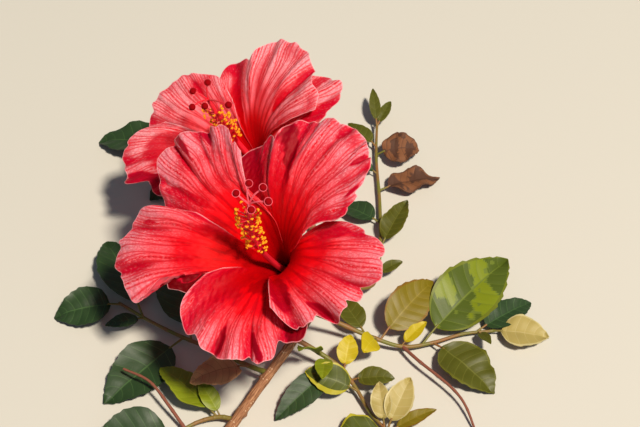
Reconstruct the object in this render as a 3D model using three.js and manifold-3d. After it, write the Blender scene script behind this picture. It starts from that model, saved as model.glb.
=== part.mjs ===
// A cut branch of garden hibiscus, lying on the ground on its leafy side shoots. A woody stem forks
// to two open red blooms, each with five overlapping petals, a calyx and a long column of stamens.
// Millimetres, +Z up, the ground at z = 0. The throat of the front bloom stands over x = 0, y = 0
// until the whole branch is set down with the middle of its box at the origin.
import * as THREE from 'three';
import { mergeVertices } from 'three/addons/utils/BufferGeometryUtils.js';
import Module from 'manifold-3d';

// Driving dimensions
const JOINT_GAP = 0.3; // clearance where one piece of the branch meets the next
const PETAL_THICK = 0.9;
const LEAF_THICK = 0.8;
const LEAF_ROWS = 5;
const SPROUT_ROWS = 3;
const CLAW_RADIUS = 3.5; // where the petals spring from the flower's axis
const CLAW_SPREAD = 32; // degrees each side of a petal's own heading, at its foot
const PETAL_LAP = 3.5; // how far a petal's two edges stand over and under its neighbours
const LAP_RISE = [0.03, 0.45]; // along a petal, where that lap grows to its full height
const PETAL_OPENED = 0.62; // along a petal, where it has spread to its full width
const PETAL_QUICKENS = 1.15; // how a petal's rows draw apart towards its margin
const PETAL_ROWS = 8;
const PETAL_COLUMNS = 12;
const ROW_SPREAD = 1.3;
const CALYX_FLOOR = -JOINT_GAP;
const CALYX_BOTTOM = -2.3;
const CALYX_WALL = 0.8;
const CALYX_CLEAR = 1.1; // from the middle of the petals to the calyx's inner face, at its foot
const CALYX_FLARE = 0.1; // and how much more for each millimetre up
const CALYX_FOOT = 3.2;
const CALYX_SIDES = 20;
const BRACTS = 7;
const BRACT_LINE = [[4, -1.3], [7, 0.5], [9.6, 5], [11.4, 11]]; // out from the axis, and up
const BRACT_RADIUS = 0.95;
const COLUMN_RADIUS = 1.9;
const COLUMN_TAPER = 0.45;
const ANTHERS = 16;
const ANTHER_RADIUS = 1.25;
const ANTHERS_FROM = 0.5; // along the column
const ANTHERS_OVER = 0.44;
const THREAD_LENGTH = 5.6;
const THREAD_RADIUS = 0.35;
const SPIRAL_TURN = 2.4; // radians from one thread to the next round the column
const STYLE_RADIUS = 0.6;
const STIGMA_RADIUS = 1.8;
const PEDICEL_RADIUS = 1.6;
const PEDICEL_FLARE = 0.15; // how much thicker it is under the calyx
const PEDICEL_TAPER = 0.25;
const FORK_DEPTH = 33; // from the foot of the front bloom down its axis to the fork
const PERCH_DEPTH = 32.7; // the same, from the back bloom to the wood that carries it
const CUT_RADIUS = 2.6; // the woody stem at its cut end
const TIP_RADIUS = 1.6; // and where it ends in its last leafy shoot
const SCAR_SWELL = 0.08; // its swelling at old leaf scars
const WOOD_SPLIT = 0.47; // along the wood, where the main stem ends and the back stem begins
const SHOOT_FOOT = 1.3;
const SHOOT_TIP = 0.7;
const TWIG_RADIUS = [0.9, 0.55];
const LEAF_FOLD = 0.22; // how far a leaf's sides rise, in half widths
const LEAF_NARROWEST = 0.6; // half of its width at its foot and its tip
const PETIOLE_RADIUS = 0.8;
const PETIOLE_SHARE = 0.16; // of a leaf's whole length
const SPROUT_REACH = [12, 20]; // the length of the small leaves between the large ones
const SPROUT_CLEAR = 3.5;
const SET_DOWN = [7, 43.4, 0.1]; // the middle of the branch's box, and its lowest point

const FRONT = {
  name: 'front',
  throat: [0, 0, 59],
  rise: 60.1,
  heading: 215.7,
  heart: 9,
  rim: 47,
  swing: 6,
  flare: 12,
  calyxTop: 15,
  toothTop: 24,
  petals: [
    { name: 'upper_left', claw: 120, from: 91, to: 165, reach: [38, 47, 60, 65, 70, 70.5, 66, 57, 52, 47, 40] },
    { name: 'upper_right', claw: 48, from: 8, to: 102, reach: [43, 57, 65, 69, 68, 65, 60, 54, 46, 44, 40] },
    { name: 'lower_right', claw: -24, from: -75, to: 15, reach: [30, 42, 47, 53, 57, 60, 65, 63, 56, 43, 32] },
    { name: 'bottom', claw: -96, from: -155, to: -53, reach: [28, 42, 47, 47.5, 53, 53, 51, 55, 49, 50, 44] },
    { name: 'left', claw: -168, from: -213, to: -147, reach: [36, 53, 61, 66, 68, 71, 69, 64, 55, 43, 33] },
  ],
  column: [[0, 0, 0], [0, 0, 14], [0.1, -0.3, 34], [2.4, 1, 43], [6.1, 3.5, 52], [12, 5.8, 69]],
  stigmas: [[16.2, 11.3, 78], [9.7, 8.3, 77], [21.5, 9.7, 75], [23.6, 3.2, 74], [17.1, -0.7, 77]],
};
const BACK = {
  name: 'back',
  throat: [-14.5, 83.3, 39.8],
  rise: 64.9,
  heading: 203.9,
  heart: 9,
  rim: 44,
  swing: 5,
  flare: 11.5,
  calyxTop: 14,
  toothTop: 22,
  petals: [
    { name: 'upper_left', claw: 130, from: 92, to: 172, reach: [24, 35, 40, 45, 48, 50, 51.5, 52, 51, 47, 40] },
    { name: 'upper_right', claw: 58, from: 2, to: 104, reach: [40, 46, 48.5, 51, 54, 55, 54, 48, 46, 43, 36] },
    { name: 'lower_right', claw: -14, from: -66, to: 32, reach: [30, 36, 40, 41, 42, 42, 44, 51, 60, 57, 50] },
    { name: 'bottom', claw: -86, from: -140, to: -50, reach: [32, 38, 42, 44, 46, 46, 46, 44, 42, 38, 32] },
    { name: 'left', claw: -158, from: -202, to: -142, reach: [38, 46, 54, 59, 60, 58, 54, 48, 48, 46, 40] },
  ],
  column: [[0, 0, 0], [-1, 1.8, 14], [-2.6, 4.5, 30], [-1.2, 4.1, 42], [0, 2.1, 56], [0.5, 3.3, 67]],
  stigmas: [[4.3, 6.9, 76], [-4, 4.9, 75], [-3.9, -4.5, 75], [3.4, -6.6, 76], [14.4, -7, 73]],
};
const SWING_HEADING = 110; // the side of both blooms whose petals stand highest
const SWING_FROM = [8, 32]; // the distances from the axis over which that grows
const RIM_DROOP = 3;
const RIM_RADIUS = 62;
const FUNNEL_POWER = 0.78;

const radians = THREE.MathUtils.degToRad;
const smooth = (from, to, x) => THREE.MathUtils.smoothstep(x, from, to);
const vector = (point) => new THREE.Vector3(...point);

// A height of the petal surface over the flower's foot, at a distance from its axis and a heading.
function funnel(bloom, radius, heading) {
  const lean = Math.cos(radians(heading - SWING_HEADING)) * smooth(...SWING_FROM, radius);
  const out = Math.max(radius - CLAW_RADIUS, 0) / bloom.flare;
  const rise = 1 - Math.exp(-(out ** FUNNEL_POWER));
  return (bloom.rim + bloom.swing * lean) * rise - RIM_DROOP * (radius / RIM_RADIUS) ** 4;
}

// A smooth value from an evenly spaced list, t running from -1 to 1.
function along(values, t) {
  const last = values.length - 1;
  const place = ((t + 1) / 2) * last;
  const i = Math.min(Math.floor(place), last - 1);
  const f = place - i;
  const at = (k) => values[THREE.MathUtils.clamp(k, 0, last)];
  const [a, b, c, d] = [at(i - 1), at(i), at(i + 1), at(i + 2)];
  return 0.5 * (2 * b + (c - a) * f + (2 * a - 5 * b + 4 * c - d) * f ** 2 + (3 * b - a - 3 * c + d) * f ** 3);
}

// A point of a petal: s runs from its claw to its margin, t from its clockwise edge to the other.
function petalPoint(bloom, petal, s, t) {
  const radius = CLAW_RADIUS + (along(petal.reach, t) - CLAW_RADIUS) * s ** PETAL_QUICKENS;
  const opened = smooth(0, PETAL_OPENED, s);
  const foot = petal.claw + CLAW_SPREAD * t;
  const limb = (petal.from + petal.to) / 2 + ((petal.to - petal.from) / 2) * t;
  const heading = THREE.MathUtils.lerp(foot, limb, opened);
  const height = funnel(bloom, radius, heading);
  const slope = funnel(bloom, radius + 0.5, heading) - funnel(bloom, radius - 0.5, heading);
  const lift = -PETAL_LAP * t * smooth(...LAP_RISE, s);
  const inward = lift / Math.hypot(1, slope);
  const out = radius - slope * inward;
  const angle = radians(heading);
  return new THREE.Vector3(out * Math.cos(angle), out * Math.sin(angle), height + inward);
}

function closedGeometry(points, faces) {
  const geometry = new THREE.BufferGeometry();
  geometry.setAttribute('position', new THREE.Float32BufferAttribute(points.flatMap((p) => p.toArray()), 3));
  const volume = faces.reduce((sum, [a, b, c]) => sum + points[a].dot(points[b].clone().cross(points[c])), 0);
  geometry.setIndex(faces.flatMap(([a, b, c]) => (volume > 0 ? [a, b, c] : [a, c, b])));
  geometry.computeVertexNormals();
  return geometry;
}

// A thin solid either side of a grid of points: rows of equal length, with a square rim all round.
function sheetSolid(grid, thickness) {
  const rows = grid.length;
  const columns = grid[0].length;
  const pick = (i, j) => grid[THREE.MathUtils.clamp(i, 0, rows - 1)][THREE.MathUtils.clamp(j, 0, columns - 1)];
  const points = [];
  for (const side of [0.5, -0.5]) {
    for (let i = 0; i < rows; i++) {
      for (let j = 0; j < columns; j++) {
        const down = pick(i + 1, j).clone().sub(pick(i - 1, j));
        const across = pick(i, j + 1).clone().sub(pick(i, j - 1));
        points.push(down.cross(across).normalize().multiplyScalar(side * thickness).add(pick(i, j)));
      }
    }
  }
  const under = rows * columns;
  const faces = [];
  const quad = (a, b, c, d) => faces.push([a, b, c], [a, c, d]);
  for (let i = 0; i < rows - 1; i++) {
    for (let j = 0; j < columns - 1; j++) {
      const k = i * columns + j;
      quad(k, k + columns, k + columns + 1, k + 1);
      quad(under + k, under + k + 1, under + k + columns + 1, under + k + columns);
    }
  }
  const rim = [];
  for (let j = 0; j < columns - 1; j++) rim.push(j);
  for (let i = 0; i < rows - 1; i++) rim.push(i * columns + columns - 1);
  for (let j = columns - 1; j > 0; j--) rim.push((rows - 1) * columns + j);
  for (let i = rows - 1; i > 0; i--) rim.push(i * columns);
  rim.forEach((k, n) => {
    const next = rim[(n + 1) % rim.length];
    quad(k, next, under + next, under + k);
  });
  return closedGeometry(points, faces);
}

// A tapering limb along a curve, round or oval, with flat ends.
function limb(curve, radiusAt, sides, steps) {
  const frames = curve.computeFrenetFrames(steps, false);
  const points = [];
  for (let i = 0; i <= steps; i++) {
    const centre = curve.getPointAt(i / steps);
    for (let j = 0; j < sides; j++) {
      const angle = (j / sides) * Math.PI * 2;
      const spoke = frames.normals[i].clone().multiplyScalar(Math.cos(angle));
      spoke.addScaledVector(frames.binormals[i], Math.sin(angle));
      points.push(spoke.multiplyScalar(radiusAt(i / steps)).add(centre));
    }
  }
  const foot = points.push(curve.getPointAt(0)) - 1;
  const tip = points.push(curve.getPointAt(1)) - 1;
  const faces = [];
  for (let j = 0; j < sides; j++) {
    const next = (j + 1) % sides;
    faces.push([foot, next, j], [tip, steps * sides + j, steps * sides + next]);
    for (let i = 0; i < steps; i++) {
      const [a, b] = [i * sides + j, i * sides + next];
      faces.push([a, b, b + sides], [a, b + sides, a + sides]);
    }
  }
  return closedGeometry(points, faces);
}

// A closed solid turned about Z, whose profile of [radius, height] points may change with heading.
function turned(profileAt, segments) {
  const rings = profileAt(0).length;
  const points = [new THREE.Vector3(0, 0, profileAt(0)[0][1]), new THREE.Vector3(0, 0, profileAt(0)[rings - 1][1])];
  for (let j = 0; j < segments; j++) {
    const angle = (j / segments) * Math.PI * 2;
    for (const [radius, height] of profileAt(angle).slice(1, -1)) {
      points.push(new THREE.Vector3(radius * Math.cos(angle), radius * Math.sin(angle), height));
    }
  }
  const count = rings - 2;
  const faces = [];
  for (let j = 0; j < segments; j++) {
    const a = 2 + j * count;
    const b = 2 + ((j + 1) % segments) * count;
    faces.push([0, b, a], [1, a + count - 1, b + count - 1]);
    for (let i = 0; i < count - 1; i++) faces.push([a + i, b + i, b + i + 1], [a + i, b + i + 1, a + i + 1]);
  }
  return closedGeometry(points, faces);
}

const wasm = await Module();
wasm.setup();

// Several closed geometries joined into one body.
function fused(geometries) {
  const solids = geometries.map((geometry) => {
    const bare = geometry.clone();
    bare.deleteAttribute('normal');
    bare.deleteAttribute('uv');
    const welded = mergeVertices(bare.index ? bare.toNonIndexed() : bare);
    return new wasm.Manifold(
      new wasm.Mesh({
        numProp: 3,
        vertProperties: new Float32Array(welded.attributes.position.array),
        triVerts: new Uint32Array(welded.index.array),
      }),
    );
  });
  const mesh = solids.reduce((whole, piece) => whole.add(piece)).getMesh();
  const geometry = new THREE.BufferGeometry();
  geometry.setAttribute('position', new THREE.BufferAttribute(new Float32Array(mesh.vertProperties), 3));
  geometry.setIndex(new THREE.BufferAttribute(new Uint32Array(mesh.triVerts), 1));
  geometry.computeVertexNormals();
  return geometry;
}

const petalRed = new THREE.MeshStandardMaterial({ color: '#e8303a', roughness: 0.6, side: THREE.DoubleSide });
const columnRed = new THREE.MeshStandardMaterial({ color: '#c81e28', roughness: 0.55 });
const calyxGreen = new THREE.MeshStandardMaterial({ color: '#6f8a34', roughness: 0.7 });
const stemBark = new THREE.MeshStandardMaterial({ color: '#8a5f45', roughness: 0.85 });
const leafGreen = new THREE.MeshStandardMaterial({ color: '#44591f', roughness: 0.5 });

function piece(name, geometry, material) {
  const mesh = new THREE.Mesh(geometry, material);
  mesh.name = name;
  return mesh;
}

// The way a bloom faces, and its foot: the point on its axis where petals, column and calyx meet.
function bloomAxis(bloom) {
  const flat = Math.cos(radians(bloom.rise));
  const heading = radians(bloom.heading);
  return new THREE.Vector3(flat * Math.cos(heading), flat * Math.sin(heading), Math.sin(radians(bloom.rise)));
}

function pointBelow(bloom, depth) {
  return vector(bloom.throat).addScaledVector(bloomAxis(bloom), -bloom.heart - depth);
}

function petalGeometry(bloom, petal) {
  const grid = [];
  for (let i = 0; i <= PETAL_ROWS; i++) {
    const s = (i / PETAL_ROWS) ** ROW_SPREAD;
    grid.push(
      Array.from({ length: PETAL_COLUMNS + 1 }, (_, j) => petalPoint(bloom, petal, s, (2 * j) / PETAL_COLUMNS - 1)),
    );
  }
  return sheetSolid(grid, PETAL_THICK);
}

// The distance from the axis at which the funnel of petals reaches a height.
function funnelRadius(bloom, height) {
  return CLAW_RADIUS + bloom.flare * (-Math.log(1 - Math.max(height, 0) / bloom.rim)) ** (1 / FUNNEL_POWER);
}

// The green cup with its five teeth, and the narrow bracts of the second whorl under it.
function calyxGeometry(bloom) {
  const rows = [0, 0.3, 0.65, 1];
  const inner = (height) => funnelRadius(bloom, height) + CALYX_CLEAR + CALYX_FLARE * height;
  const cup = turned((angle) => {
    const tooth = 1 - Math.abs(((((angle / (2 * Math.PI)) * 5) % 1) + 1) % 1 - 0.5) * 2;
    const top = THREE.MathUtils.lerp(bloom.calyxTop, bloom.toothTop, tooth);
    const outside = rows.map((f) => [inner(f * top) + CALYX_WALL, f * top - (1 - f)]);
    const inside = rows.map((f) => [inner(f * top), f * top + (1 - f) * CALYX_FLOOR]).reverse();
    return [[0, CALYX_BOTTOM], [CALYX_FOOT, CALYX_BOTTOM], ...outside, ...inside, [0, CALYX_FLOOR]];
  }, CALYX_SIDES);
  const bracts = Array.from({ length: BRACTS }, (_, k) => {
    const turn = (k / BRACTS) * Math.PI * 2 + 0.3;
    const ray = ([radius, height]) => new THREE.Vector3(radius * Math.cos(turn), radius * Math.sin(turn), height);
    const curve = new THREE.CatmullRomCurve3(BRACT_LINE.map(ray));
    return limb(curve, (u) => BRACT_RADIUS * (1 - 0.6 * u), 3, 3);
  });
  return fused([cup, ...bracts]);
}

// The column of stamens: a tube that leans up and out, anthers on short threads round its upper
// half, and five style branches, each with a round stigma.
function columnGeometry(bloom) {
  const curve = new THREE.CatmullRomCurve3(bloom.column.map(vector));
  const pieces = [limb(curve, (u) => COLUMN_RADIUS * (1 - COLUMN_TAPER * u), 8, 10)];
  for (let k = 0; k < ANTHERS; k++) {
    const up = ANTHERS_FROM + (ANTHERS_OVER * (k + 0.5)) / ANTHERS;
    const turn = k * SPIRAL_TURN;
    const root = curve.getPointAt(up);
    const out = new THREE.Vector3(Math.cos(turn), Math.sin(turn), 0.45).normalize();
    const tip = root.clone().addScaledVector(out, THREAD_LENGTH + (k % 3));
    pieces.push(limb(new THREE.LineCurve3(root, tip), () => THREAD_RADIUS, 3, 1));
    const anther = new THREE.OctahedronGeometry(ANTHER_RADIUS);
    anther.translate(tip.x, tip.y, tip.z);
    pieces.push(anther);
  }
  const end = curve.getPointAt(1);
  const before = curve.getPointAt(0.97);
  for (const stigma of bloom.stigmas.map(vector)) {
    const bend = end.clone().lerp(stigma, 0.45);
    bend.z += 1.6;
    pieces.push(limb(new THREE.CatmullRomCurve3([before, end, bend, stigma]), () => STYLE_RADIUS, 3, 4));
    const pad = new THREE.OctahedronGeometry(STIGMA_RADIUS);
    pad.translate(stigma.x, stigma.y, stigma.z);
    pieces.push(pad);
  }
  return fused(pieces);
}

function bloomGroup(bloom) {
  const axis = bloomAxis(bloom);
  const right = new THREE.Vector3(1, 0, 0).addScaledVector(axis, -axis.x).normalize();
  const group = new THREE.Group();
  group.position.copy(pointBelow(bloom, 0));
  group.quaternion.setFromRotationMatrix(
    new THREE.Matrix4().makeBasis(right, axis.clone().cross(right), axis),
  );
  for (const petal of bloom.petals) {
    group.add(piece(`${bloom.name}_petal_${petal.name}`, petalGeometry(bloom, petal), petalRed));
  }
  group.add(piece(`${bloom.name}_column`, columnGeometry(bloom), columnRed));
  group.add(piece(`${bloom.name}_calyx`, calyxGeometry(bloom), calyxGreen));
  return group;
}

// The wood: one line from the cut end, up through the fork, and down again to the back bloom's foot.
const wood = new THREE.CatmullRomCurve3([
  vector([-33, -65, CUT_RADIUS + 0.1]), vector([-25, -52, 4.2]), vector([-12, -32, 8]), vector([2, -13, 15]),
  vector([12, 1, 20.5]), pointBelow(FRONT, FORK_DEPTH), vector([22, 28, 18]), vector([20, 56, 8]),
  vector([11, 78, 3]), pointBelow(BACK, PERCH_DEPTH), vector([-5, 98, TIP_RADIUS + 0.1]),
]);
const woodLength = wood.getLength();

function woodRadius(u) {
  const scar = Math.max(0, Math.sin(62 * u)) ** 6;
  return THREE.MathUtils.lerp(CUT_RADIUS, TIP_RADIUS, u) * (1 + SCAR_SWELL * scar);
}

class Stretch extends THREE.Curve {
  constructor(whole, from, to) {
    super();
    this.at = (t) => THREE.MathUtils.lerp(from, to, t);
    this.whole = whole;
  }

  getPoint(t) {
    return this.whole.getPointAt(this.at(t));
  }
}

function woodPiece(name, from, to) {
  const stretch = new Stretch(wood, from, to);
  return piece(name, limb(stretch, (u) => woodRadius(stretch.at(u)), 10, 20), stemBark);
}

// How far along the wood it passes nearest to a point.
function nearestOnWood(point) {
  const spots = Array.from({ length: 401 }, (_, k) => k / 400);
  return spots.reduce((best, u) =>
    wood.getPointAt(u).distanceTo(point) < wood.getPointAt(best).distanceTo(point) ? u : best);
}

// The flower stalk, from just under the calyx to just clear of the wood that carries it.
function pedicel(bloom, depth) {
  const girth = woodRadius(nearestOnWood(pointBelow(bloom, depth)));
  const curve = new THREE.LineCurve3(
    pointBelow(bloom, -CALYX_BOTTOM + JOINT_GAP),
    pointBelow(bloom, depth - girth - JOINT_GAP - PEDICEL_RADIUS * PEDICEL_TAPER),
  );
  const radiusAt = (u) => PEDICEL_RADIUS * (1 + PEDICEL_FLARE - PEDICEL_TAPER * u);
  return piece(`${bloom.name}_pedicel`, limb(curve, radiusAt, 8, 4), calyxGreen);
}

// Leafy shoots. A route's first point is on the wood. Each leaf has its place along the shoot, its
// tip, its width, how high its back arches and how far it rolls to one side, in degrees.
const SHOOTS = [
  {
    name: 'right_shoot',
    route: [[21, 24, 19.5], [32, 26, 13], [43, 32, 7], [48, 55, 4], [49, 90, 3.5], [48, 125, 4], [49, 150, 6]],
    leaves: [
      { at: 0.38, tip: [63, 84, 14], wide: 13, arch: 3, roll: -10 },
      { at: 0.5, tip: [27, 92, 1], wide: 15, arch: 4, roll: 8 },
      { at: 0.66, tip: [82, 112, 1], wide: 17, arch: 5, roll: -8 },
      { at: 0.84, tip: [72, 128, 7], wide: 18, arch: 6, roll: 20 },
      { at: 0.88, tip: [33, 150, 5], wide: 9, arch: 3, roll: 0 },
      { at: 0.98, tip: [47, 171, 12], wide: 6, arch: 2, roll: 0 },
      { at: 0.98, tip: [57, 164, 9], wide: 6, arch: 2, roll: 0 },
    ],
    twigs: [],
    sprouts: 2,
    seed: 11,
  },
  {
    name: 'outer_right_shoot',
    route: [[13.5, 4, 21.3], [26, 2, 15], [42, -2, 9], [58, -5, 5], [72, -2, 4], [88, 4, 3.5], [104, 6, 3.5]],
    leaves: [
      { at: 0.38, tip: [74, 30, 13], wide: 20, arch: 6, roll: 25 },
      { at: 0.36, tip: [38, -16, 15], wide: 11, arch: 5, roll: -30 },
      { at: 0.3, tip: [27, 22, 9], wide: 12, arch: 3, roll: 0 },
      { at: 0.6, tip: [113, 48, 8], wide: 31, arch: 9, roll: 12 },
      { at: 0.66, tip: [101, -30, 1], wide: 25, arch: 6, roll: -6 },
      { at: 0.98, tip: [130, 2, 3], wide: 19, arch: 3, roll: 0 },
      { at: 0.9, tip: [124, 26, 1], wide: 15, arch: 4, roll: 5 },
    ],
    twigs: [[0.5, [64, -14, 7], [84, -36, 6], [91, -54, 1.2]]],
    sprouts: 3,
    seed: 23,
  },
  {
    name: 'lower_right_shoot',
    route: [[5, -9, 17], [16, -14, 13], [27, -20, 8], [35, -31, 5], [41, -43, 3.5], [50, -54, 3]],
    leaves: [
      { at: 0.22, tip: [7, -22, 25], wide: 12, arch: 4, roll: 40 },
      { at: 0.6, tip: [10, -25, 12], wide: 15, arch: 4, roll: -25 },
      { at: 0.42, tip: [32, -6, 16], wide: 10, arch: 3, roll: 10 },
      { at: 0.5, tip: [53, -26, 8], wide: 11, arch: 3, roll: 0 },
      { at: 0.94, tip: [45, -33, 15], wide: 10, arch: 3, roll: -15 },
      { at: 0.97, tip: [60, -31, 15], wide: 13, arch: 4, roll: 10 },
      { at: 0.99, tip: [72, -44, 8], wide: 7, arch: 3, roll: 0 },
      { at: 0.97, tip: [24, -62, 2], wide: 23, arch: 6, roll: 6 },
      { at: 0.36, tip: [-4, -46, 2], wide: 14, arch: 5, roll: -12 },
      { at: 0.99, tip: [70, -74, 1], wide: 20, arch: 5, roll: 0 },
    ],
    twigs: [],
    sprouts: 1,
    seed: 37,
  },
  {
    name: 'lower_left_shoot',
    route: [[-22, -48, 5], [-30, -46, 4.5], [-40, -48, 3.5], [-50, -54, 3]],
    leaves: [
      { at: 0.3, tip: [-60, -18, 6], wide: 18, arch: 5, roll: 15 },
      { at: 0.9, tip: [-90, -62, 1], wide: 27, arch: 6, roll: -5 },
      { at: 0.96, tip: [-58, -84, 1], wide: 20, arch: 5, roll: 5 },
    ],
    twigs: [[0.85, [-54, -42, 8], [-64, -30, 11], [-77, -22, 10]]],
    sprouts: 1,
    seed: 41,
  },
  {
    name: 'left_shoot',
    route: [[-7, -25, 10], [-16, -20, 9], [-34, -8, 6], [-52, 2, 4.5], [-68, 12, 4], [-84, 24, 3]],
    leaves: [
      { at: 0.12, tip: [-44, -35, 17], wide: 14, arch: 7, roll: -20 },
      { at: 0.55, tip: [-86, -36, 1], wide: 27, arch: 2, roll: -5 },
      { at: 0.5, tip: [-58, 50, 3], wide: 26, arch: 7, roll: 8 },
      { at: 0.82, tip: [-94, 66, 1], wide: 26, arch: 8, roll: 10 },
      { at: 0.98, tip: [-116, 16, 1], wide: 22, arch: 6, roll: -8 },
      { at: 0.3, tip: [-14, 18, 7], wide: 15, arch: 4, roll: 0 },
    ],
    twigs: [],
    sprouts: 2,
    seed: 53,
  },
  {
    name: 'back_shoot',
    route: [[-5, 98, 2], [-12, 106, 3], [-26, 118, 5], [-44, 128, 4], [-62, 132, 3]],
    leaves: [
      { at: 0.95, tip: [-106, 140, 1], wide: 27, arch: 8, roll: 8 },
      { at: 0.6, tip: [-74, 96, 1], wide: 22, arch: 7, roll: -8 },
      { at: 0.66, tip: [-40, 166, 4], wide: 25, arch: 8, roll: 10 },
      { at: 0.3, tip: [10, 150, 3], wide: 24, arch: 8, roll: 0 },
      { at: 0.14, tip: [30, 118, 1], wide: 18, arch: 5, roll: -10 },
    ],
    twigs: [],
    sprouts: 1,
    seed: 67,
  },
];

// The same sequence of numbers from 0 to 1 for the same seed.
function seeded(seed) {
  let state = seed;
  return () => {
    state = (state * 16807) % 2147483647;
    return state / 2147483647;
  };
}

// A leaf from its root on the shoot to its tip: a stalk, then an oval blade, broadest below its
// middle, folded up a little either side of its midrib.
function leafPieces(root, tip, wide, arch, roll, rows) {
  const top = root.clone().lerp(tip, 0.5);
  top.z += arch;
  const spine = new THREE.QuadraticBezierCurve3(root, top, tip);
  const grid = [];
  for (let i = 0; i <= rows; i++) {
    const s = i / rows;
    const v = PETIOLE_SHARE + (1 - PETIOLE_SHARE) * s;
    const ahead = spine.getTangent(v);
    const side = ahead.clone().cross(new THREE.Vector3(0, 0, 1)).normalize().applyAxisAngle(ahead, radians(roll));
    const face = side.clone().cross(ahead);
    const half = Math.max((wide / 2) * Math.sin(Math.PI * s ** 0.75) ** 0.8 || 0, LEAF_NARROWEST);
    grid.push([-1, 0, 1].map((t) =>
      spine.getPoint(v).addScaledVector(side, half * t).addScaledVector(face, LEAF_FOLD * half * Math.abs(t))));
  }
  const stalk = new THREE.LineCurve3(root, spine.getPoint(PETIOLE_SHARE * 1.25));
  return [sheetSolid(grid, LEAF_THICK), limb(stalk, () => PETIOLE_RADIUS, 3, 1)];
}

function pointsOf(geometry) {
  const place = geometry.attributes.position;
  return Array.from({ length: place.count }, (_, k) => new THREE.Vector3().fromBufferAttribute(place, k));
}

// A shoot's foot stands just clear of the wood, with its flat end's nearest corner at the joint gap.
function shootCurve(shoot) {
  const [start, second, ...rest] = shoot.route.map(vector);
  const u = nearestOnWood(start);
  const centre = wood.getPointAt(u);
  const ahead = second.clone().sub(centre).normalize();
  const along = Math.abs(ahead.dot(wood.getTangentAt(u)));
  const across = Math.sqrt(1 - along ** 2);
  const end = u > 0.99 ? JOINT_GAP : (woodRadius(u) + JOINT_GAP + SHOOT_FOOT * along) / across;
  return new THREE.CatmullRomCurve3([centre.clone().addScaledVector(ahead, end), second, ...rest]);
}

// Everything that a small leaf has to stay clear of, gathered as the branch is built.
const taken = Array.from({ length: 121 }, (_, k) => ({ owner: 'wood', point: wood.getPointAt(k / 120) }));
for (const [bloom, depth] of [[FRONT, FORK_DEPTH], [BACK, PERCH_DEPTH]]) {
  for (let k = 0; k <= depth; k += 2) taken.push({ owner: 'stalk', point: pointBelow(bloom, k) });
}

function shootPieces(shoot) {
  const curve = shootCurve(shoot);
  const girth = (u) => THREE.MathUtils.lerp(SHOOT_FOOT, SHOOT_TIP, u);
  const pieces = [limb(curve, girth, 5, 9)];
  for (const leaf of shoot.leaves) {
    const root = curve.getPointAt(leaf.at);
    pieces.push(...leafPieces(root, vector(leaf.tip), leaf.wide, leaf.arch, leaf.roll, LEAF_ROWS));
  }
  for (const [at, ...route] of shoot.twigs) {
    const twig = new THREE.CatmullRomCurve3([curve.getPointAt(at), ...route.map(vector)]);
    pieces.push(limb(twig, (u) => THREE.MathUtils.lerp(...TWIG_RADIUS, u), 5, 8));
  }
  for (const part of pieces) {
    for (const point of pointsOf(part)) taken.push({ owner: shoot.name, point });
  }
  return { shoot, curve, pieces };
}

// Small leaves by a seeded rule: left and right in turn, between the large ones. One that would
// reach the ground, the wood, a flower's stalk or another shoot is skipped.
function addSprouts({ shoot, curve, pieces }) {
  const random = seeded(shoot.seed);
  for (let k = 0; k < shoot.sprouts; k++) {
    const at = 0.25 + (0.7 * (k + random())) / shoot.sprouts;
    const root = curve.getPointAt(at);
    const ahead = curve.getTangentAt(at);
    const turn = (k % 2 ? 1 : -1) * (0.7 + 0.6 * random());
    const reach = THREE.MathUtils.lerp(SPROUT_REACH[0], SPROUT_REACH[1], random());
    const tip = root.clone().addScaledVector(ahead.applyAxisAngle(new THREE.Vector3(0, 0, 1), turn), reach);
    tip.z = root.z + 3 + 4 * random();
    const leaf = leafPieces(root, tip, reach * (0.36 + 0.1 * random()), 2, 0, SPROUT_ROWS);
    const points = leaf.flatMap(pointsOf);
    const blocked = taken.some(({ owner, point }) =>
      owner !== shoot.name && points.some((p) => p.distanceTo(point) < SPROUT_CLEAR));
    if (!blocked && points.every((p) => p.z > JOINT_GAP)) {
      pieces.push(...leaf);
      for (const point of points) taken.push({ owner: shoot.name, point });
    }
  }
}

const shoots = SHOOTS.map(shootPieces);
shoots.forEach(addSprouts);

const branch = new THREE.Group();
branch.position.set(-SET_DOWN[0], -SET_DOWN[1], -SET_DOWN[2]);
branch.add(bloomGroup(FRONT), bloomGroup(BACK), pedicel(FRONT, FORK_DEPTH), pedicel(BACK, PERCH_DEPTH));
branch.add(woodPiece('main_stem', 0, WOOD_SPLIT - JOINT_GAP / woodLength), woodPiece('back_stem', WOOD_SPLIT, 1));
for (const { shoot, pieces } of shoots) branch.add(piece(shoot.name, fused(pieces), leafGreen));

export default branch;
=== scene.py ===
"""A cut branch of garden hibiscus with two open red blooms, lying on its leafy shoots."""

import math

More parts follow.
